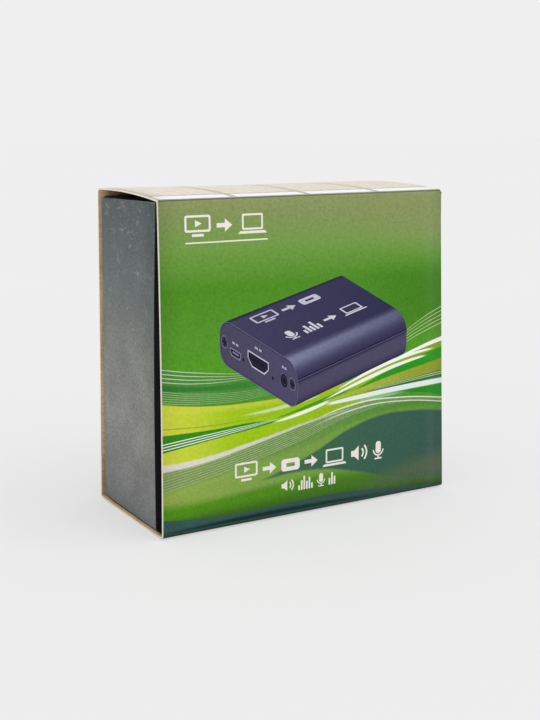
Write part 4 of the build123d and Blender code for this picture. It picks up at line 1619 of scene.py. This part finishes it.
def panel_materials(sleeve: Sleeve) -> dict[str, bpy.types.Material]:
    """Make the materials of the sleeve's panels, liner and cut edge.

    Args:
        sleeve: the sleeve, for the places and sizes of its panels.

    Returns:
        The materials by name.
    """
    left, front = -sleeve.width / 2, -sleeve.depth / 2
    upright = Panel(Lie.UPRIGHT, (left, sleeve.foot), (sleeve.width, sleeve.height))
    level = Panel(Lie.LEVEL, (left, front), (sleeve.width, sleeve.depth))
    greens = (
        (0, "#2d4a2c"), (6, "#4a7a2a"), (22, "#648f38"), (50, "#58a02c"), (66, "#5b9b32"), (84, "#55922c"),
        (98, "#76a24c"), (109, "#8a9b60"), (115.5, "#909b67"),
    )
    olives = ((0, "#3a6a34"), (40, "#5c9a40"), (90, "#6f9450"), (115.5, "#7c8656"))
    creams = ((0, "#c4bba8"), (56.5, "#d0c7b4"))
    slates = ((0, "#24383c"), (56.5, "#2b4444"))
    # The liner's dark colour is painted shade a little way in from the mouths
    liner = {"stretch": (0.3, 1.0, 1.0), "painted_shade_colour": "#2e2620"}
    cut = {"fibre": 0.35, "stretch": (1, 1, 1), "speck": 1.5}
    finishes = {
        "front": PrintedBoard("front_panel_print_film", upright, greens, FRONT_WAVES),
        "top": PrintedBoard("top_panel_print_film", level, creams, TOP_FIELDS),
        "back": PrintedBoard("back_panel_print_film", upright, olives, BACK_FIELDS),
        "bottom": PrintedBoard("foot_panel_print_film", level, slates, FOOT_FIELDS),
        "liner": BareCard("grey_back_chipboard_liner", "#dcbc98", "#b89472", **liner),
        "edge": BareCard("cut_chipboard_edge", "#fffaf0", "#f4e9d2", **cut),
    }
    return {name: finish.make() for name, finish in finishes.items()}


# The drawer

@dataclass
class Drawer:
    """The dark card drawer, open to the front, with doubled end walls. Its sizes are in mm.

    The shown end bulges towards the sleeve's mouth, both ends lean out along their front edges, the
    back top corners are crushed a little, and the floor has sagged. Its corners are in metres.
    """

    board: float = 0.6
    crease: float = 0.8
    rim: float = 0.25
    bulge: float = 0.5
    fold_top: float = 2.6
    fold_middle: float = 5.9
    fold_low: float = 6.6
    fold_lean: float = 1.0
    # How far in from each end the back top corners are crushed, and how far they are pulled forwards
    crush: float = 2.0
    corner_pull: float = 2.5
    # The foot is flat this far from its middle, then rises over the slope to its creases
    flat: float = 12.0
    slope: float = 16.25
    sag: float = 1.15
    low: Vector = field(default_factory=lambda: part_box("slide_tray")[0])
    high: Vector = field(default_factory=lambda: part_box("slide_tray")[1])

    def film(self) -> bpy.types.Material:
        """Make the film, whose rub, painted reflection and fold lie where this drawer's do.

        Returns:
            The material.
        """
        folds = ((0.0, self.fold_low), (0.5, self.fold_middle), (1.0, self.fold_top))
        return DrawerFilm(
            "rubbed_black_drawer_film", self.low.z / MM, (self.high.z - self.low.z) / MM, self.high.x / MM,
            [(up, self.low.y / MM + width) for up, width in folds],
        ).make()

    def build(self, film: bpy.types.Material) -> bpy.types.Object:
        """Model the drawer and dress it.

        Args:
            film: its material.

        Returns:
            The drawer.
        """
        tray = Workpiece("card_drawer", self.low, self.high)
        board = self.board * MM
        tray.pick(Pick.FACES, lambda middle, aim: aim.y < -ALONG)
        bpy.ops.mesh.inset(thickness=board)
        mouth = self.low.y + CLOSE
        edge = self.high.x - 1.5 * board
        tray.move(lambda place: self.thicken(place, mouth))
        near = self.near_middle
        tray.pick(Pick.FACES, lambda middle, aim: aim.y < -ALONG and abs(middle.x) < edge and near(middle))
        floor = self.high.y - board - self.low.y
        bpy.ops.mesh.extrude_region_move(TRANSFORM_OT_translate={"value": (0, floor, 0)})
        tray.pick(Pick.EDGES, lambda middle, aim: self.is_outer_crease(middle, aim))
        bpy.ops.mesh.bevel(offset=self.crease * MM, segments=4, affect="EDGES")
        tray.pick(Pick.EDGES, lambda middle, aim: abs(middle.y - self.low.y) < CLOSE)
        bpy.ops.mesh.bevel(offset=self.rim * MM, segments=2, affect="EDGES")
        self.cut_folds(tray)
        tray.move(self.fold)
        piece = tray.release(50)
        piece.data.materials.append(film)
        return piece

    @property
    def middle_z(self) -> float:
        """Half way up, in metres."""
        return (self.low.z + self.high.z) / 2

    def near_middle(self, place: Vector) -> bool:
        """Say whether a place lies far from the floor and the top wall, as the open front does."""
        return abs(place.z - self.middle_z) < 40 * MM

    def thicken(self, place: Vector, mouth: float) -> Vector:
        """Move the mouth's inner corners in, so that the end walls are doubled.

        Args:
            place: a corner in metres.
            mouth: the place in Y behind which nothing moves.

        Returns:
            Its new place.
        """
        if place.y < mouth and abs(abs(place.x) - (self.high.x - self.board * MM)) < MM * 0.05:
            place.x -= math.copysign(self.board * MM, place.x)
        return place

    def is_outer_crease(self, middle: Vector, aim: Vector) -> bool:
        """Say whether an edge is one of the creases round the back and along the four corners.

        Args:
            middle: the edge's middle in metres.
            aim: its direction.

        Returns:
            Whether it is.
        """
        side = abs(abs(middle.x) - self.high.x) < CLOSE
        level = min(abs(middle.z - self.low.z), abs(middle.z - self.high.z)) < CLOSE
        back = abs(middle.y - self.high.y) < CLOSE
        return (side and level and abs(aim.y) > ALONG) or (back and (side or level))

    def fold_line(self, z: float) -> float:
        """Give where the fold's flat band ends behind the mouth.

        Args:
            z: the height in metres.

        Returns:
            The place in Y, in metres.
        """
        up = (z - self.low.z) / (self.high.z - self.low.z)
        widths = ((0.0, self.fold_low), (0.5, self.fold_middle), (1.0, self.fold_top))
        return self.low.y + curve_value(widths, up) * MM

    def cut_folds(self, tray: Workpiece) -> None:
        """Cut the drawer along the fold bands and beside its ends.

        Args:
            tray: the drawer on the bench.
        """
        heights = [self.low.z, self.middle_z, self.high.z]
        for low, high in zip(heights, heights[1:]):
            rise = Vector((0, self.fold_line(high) - self.fold_line(low), high - low))
            tray.cut(Vector((0, self.fold_line(low), low)), rise.cross(Vector((1, 0, 0))))
        for side in (-1, 1):
            tray.cut(Vector((side * (self.high.x - self.crush * MM), 0, 0)), Vector((1, 0, 0)))

    def fold(self, place: Vector) -> Vector:
        """Settle a place of the drawer to where the card has given way.

        Args:
            place: the place in metres.

        Returns:
            The settled place in metres.
        """
        place.x = min(max(place.x, self.low.x), self.high.x)
        place.z = min(max(place.z, self.low.z), self.high.z)
        line = self.fold_line(place.z)
        up = (place.z - self.low.z) / (self.high.z - self.low.z)
        end = max(abs(place.x) - (self.high.x - self.crush * MM), 0) / (self.crush * MM)
        # From the fold to the front edge the end leans out, to fold_lean past the solid's own end
        if abs(place.x) > self.high.x - self.board * MM:
            part = max((line - place.y) / (line - self.low.y), 0.0)
            bulge = self.bulge if place.x < 0 else 0.0
            lean = abs(bulge - (bulge + self.fold_lean) * part)
            place.x += math.copysign(lean * MM, place.x)
        back = max(place.y, 0.0) / self.high.y
        place.y -= self.corner_pull * max(2 * up - 1, 0.0) ** 2 * back * end * MM
        place.z -= self.board * back * up ** 4 * end * MM
        reach = min(max(abs(place.y) / MM - self.flat, 0) / self.slope, 1.0)
        place.z -= self.sag * (1 - 0.5 * reach ** 4) * (1 - up) * MM
        return place


# Print on the adapter's own top

def adapter_top_print(ink: bpy.types.Material) -> bpy.types.Object:
    """Lay plain signs on the adapter's top, which faces the front panel.

    Args:
        ink: the ink's material.

    Returns:
        The print.
    """
    pale = "#d9d7e2"
    low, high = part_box("upper_shell")
    corner = Vector(((low.x + high.x) / 2, low.y, (low.z + high.z) / 2))
    turn = Matrix.Rotation(math.radians(90), 4, "X")
    flat = FlatPrint("adapter_top_signs", Matrix.Translation(corner) @ turn)
    far = SignRow((-24.0, 3.0), 9.0).put(*PICTURE_SIGNS)
    near = SignRow((-20.0, -12.0), 8.0).put(*SOUND_SIGNS)
    flat.lay(far.marks(pale) + near.marks(pale))
    return flat.finish(ink)


def cad_finishes() -> dict[str, bpy.types.Material]:
    """Make the finishes of the pieces that keep their own shape.

    Returns:
        The materials by material slot.
    """
    drawn = (0.05, 1.0, 1.0)
    card = {"fibre": 0.6, "speck": 4.0, "roughness": 0.72}
    finishes = (
        ("white_card", BareCard("white_folding_card", "#f4f3ee", "#e4e2da", **card)),
        ("anodised_shell", Metal("brushed_anodised_aluminium", "#3b3a52", "#2c2b40", 0.35, drawn, 0.36)),
        ("anodised_plate", Metal("blasted_anodised_aluminium", "#3f3e56", "#302f44", 0.3, roughness=0.45)),
        ("screw_steel", Metal("blackened_screw_steel", "#3a3a3e", "#232326", 0.4, roughness=0.4)),
        ("plated_steel", Metal("nickel_plated_steel", "#c9c8c4", "#b2b1ad", 0.5, drawn, 0.28, 0.002)),
        ("contact_brass", Metal("gilt_contact_brass", "#e0bd6a", "#c99f48", 0.3, drawn, 0.25, 0.002)),
        ("board_laminate", Laminate("green_lacquered_glass_epoxy")),
        ("lamp_plastic", Moulding("clear_lamp_epoxy", "#dfe4e0", "#c8cfca", 0.8, 0.2, 0.003)),
        ("thermal_pad", Moulding("soft_silicone_pad", "#8fa3ad", "#7a8f9a", 0.5, 0.75, 0.02)),
        ("port_plastic", Moulding("black_port_nylon", "#1a1a1b", "#111112", 0.5, 0.55)),
        ("chip_resin", Moulding("moulded_chip_resin", "#1d1d1f", "#131314", 0.3, 0.6)),
        ("ferrite", Moulding("sintered_ferrite", "#3c3c3d", "#2b2b2c", 0.4, 0.7, 0.015)),
        ("bulk_capacitor", Moulding("amber_capacitor_resin", "#c08f3c", "#a87a2e", 0.5, 0.45)),
        ("chip_ceramic", Moulding("fired_chip_ceramic", "#a08562", "#8b7150", 0.3, 0.5)),
    )
    return {slot: finish.make() for slot, finish in finishes}


def dress_cad(hidden: Sequence[str]) -> None:
    """Give every shown CAD node the finish of its material slot.

    Args:
        hidden: the nodes that a new piece stands for.
    """
    finishes = cad_finishes()
    slots = {part["node"]: part["material_slot"] for part in frame["record"]["subparts"]}
    for name, node in frame["nodes"].items():
        if name in hidden:
            continue
        for slot in node.material_slots:
            slot.material = finishes[slots[name]]
        log.info("%s wears %s", name, slots[name])


# Floor, light and camera

@dataclass(frozen=True)
class Studio:
    """A pale floor that meets a pale background, a wide sky light and one soft lamp."""

    pale: str = "#efefef"
    floor_size: float = 30.0
    shadow: float = 0.4
    sky: float = 0.8
    lamp: float = 0.75
    lamp_angle: float = 50.0
    lamp_aim: tuple[float, float, float] = (-0.42, 0.62, -0.95)

    def build(self) -> None:
        """Set up the floor, the sky and the lamp."""
        bpy.ops.object.select_all(action="DESELECT")
        bpy.ops.mesh.primitive_plane_add(size=self.floor_size)
        floor = bpy.context.object
        floor.name = "studio_floor"
        graph = Graph(bpy.data.materials.new("matt_studio_floor"))
        tone = graph.add("TexNoise", {"Vector": graph.place, "Scale": 0.002})
        colour = {0: tone, 6: linear("#eeeeee"), 7: linear("#f0f0f0")}
        shade = graph.add("Mix", colour, **MIX)
        seen = graph.add("LightPath", out="Is Camera Ray")
        keep = graph.add("MapRange", {0: seen, 3: 1.0, 4: self.shadow})
        glow = graph.add("MapRange", {0: seen, 4: 1 - self.shadow})
        base = graph.add("VectorMath", {0: shade, "Scale": keep}, operation="SCALE")
        shader = {"Base Color": base, "Roughness": 0.9, "Specular IOR Level": 0.0}
        shader |= {"Emission Color": shade, "Emission Strength": glow}
        floor.data.materials.append(graph.close(shader))
        self.light_sky()
        lamp = bpy.data.lights.new("soft_lamp", "SUN")
        lamp.energy = self.lamp
        lamp.angle = math.radians(self.lamp_angle)
        holder = bpy.data.objects.new("soft_lamp", lamp)
        holder.rotation_euler = Vector(self.lamp_aim).to_track_quat("-Z", "Y").to_euler()
        bpy.context.scene.collection.objects.link(holder)

    def light_sky(self) -> None:
        """Light the scene from all round, and show the background at its own brightness."""
        world = bpy.data.worlds.new("pale_studio")
        bpy.context.scene.world = world
        graph = Graph(world)
        path = graph.add("LightPath").node.outputs
        both = {0: path["Is Glossy Ray"], 1: path["Is Transmission Ray"]}
        mirrored = graph.add("Math", both, operation="MAXIMUM")
        seen = graph.add("Math", {0: path["Is Camera Ray"], 1: mirrored}, operation="MAXIMUM")
        strength = graph.add("MapRange", {0: seen, 3: self.sky, 4: linear(self.pale)[0]})
        sky = graph.add("Background", {"Color": (1, 1, 1, 1), "Strength": strength})
        graph.add("OutputWorld", {"Surface": sky})


@dataclass(frozen=True)
class PhotoCamera:
    """The camera that took the photograph, in mm, degrees and pixels of its 540 by 720 frame."""

    place: tuple[float, float, float] = (-222.0, -387.4, 139.2)
    yaw: float = 29.73
    pitch: float = 5.49
    roll: float = -0.42
    focal_px: float = 1180.0
    axis_row_px: float = 245.0
    frame_px: tuple[int, int] = (540, 720)
    sensor: float = 36.0

    def build(self) -> None:
        """Create the camera and make it the scene's own."""
        yaw, pitch, roll = (math.radians(angle) for angle in (self.yaw, self.pitch, self.roll))
        level = Vector((math.sin(yaw), math.cos(yaw), 0))
        right = Vector((math.cos(yaw), -math.sin(yaw), 0))
        ahead = level * math.cos(pitch) - Vector((0, 0, 1)) * math.sin(pitch)
        down = -Vector((0, 0, 1)) * math.cos(pitch) - level * math.sin(pitch)
        image_right = right * math.cos(roll) - down * math.sin(roll)
        image_down = right * math.sin(roll) + down * math.cos(roll)
        axes = Matrix((image_right, -image_down, -ahead)).transposed()
        camera = bpy.data.cameras.new("photo_camera")
        camera.sensor_width = self.sensor
        camera.lens = self.focal_px * self.sensor / self.frame_px[1]
        camera.shift_y = (self.axis_row_px - self.frame_px[1] / 2) / self.frame_px[1]
        camera.clip_start = 0.01
        holder = bpy.data.objects.new("photo_camera", camera)
        holder.matrix_world = Matrix.Translation(Vector(self.place) * MM) @ axes.to_4x4()
        bpy.context.scene.collection.objects.link(holder)
        bpy.context.scene.camera = holder


def place_piece(piece: bpy.types.Object, body: str, slot: str, *nodes: str) -> None:
    """Let a piece ride on its body, in place of the nodes that it stands for.

    Args:
        piece: the piece.
        body: the name of the body that carries it.
        slot: the record's material slot; not used.
        nodes: the CAD nodes that it replaces.
    """
    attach(piece, body)
    if nodes:
        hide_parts(*nodes)
    log.info("%s rides on %s: %d faces", piece.name, body, len(piece.data.polygons))


def main() -> None:
    """Build the carton, the drawer and the prints, dress the rest and set up the studio."""
    logging.basicConfig(level=logging.INFO, format="%(message)s")
    bpy.context.scene.view_settings.view_transform = "Standard"
    sleeve = Sleeve()
    tube = sleeve.build(panel_materials(sleeve))
    place_piece(tube, "sleeve", "printed_board", "outer_sleeve")
    ink = SheetInk("screen_printed_ink", FlatPrint.attribute).make()
    place_piece(FrontPanelPrint(sleeve).build(ink), "sleeve", "printed_board")
    place_piece(BackPanelPrint(sleeve).build(ink), "sleeve", "printed_board")
    drawer = Drawer()
    place_piece(drawer.build(drawer.film()), "tray", "dark_board", "slide_tray")
    place_piece(adapter_top_print(ink), "tray", "anodised_shell")
    dress_cad(("outer_sleeve", "slide_tray"))
    Studio().build()
    PhotoCamera().build()


if __name__ == "__main__":
    main()
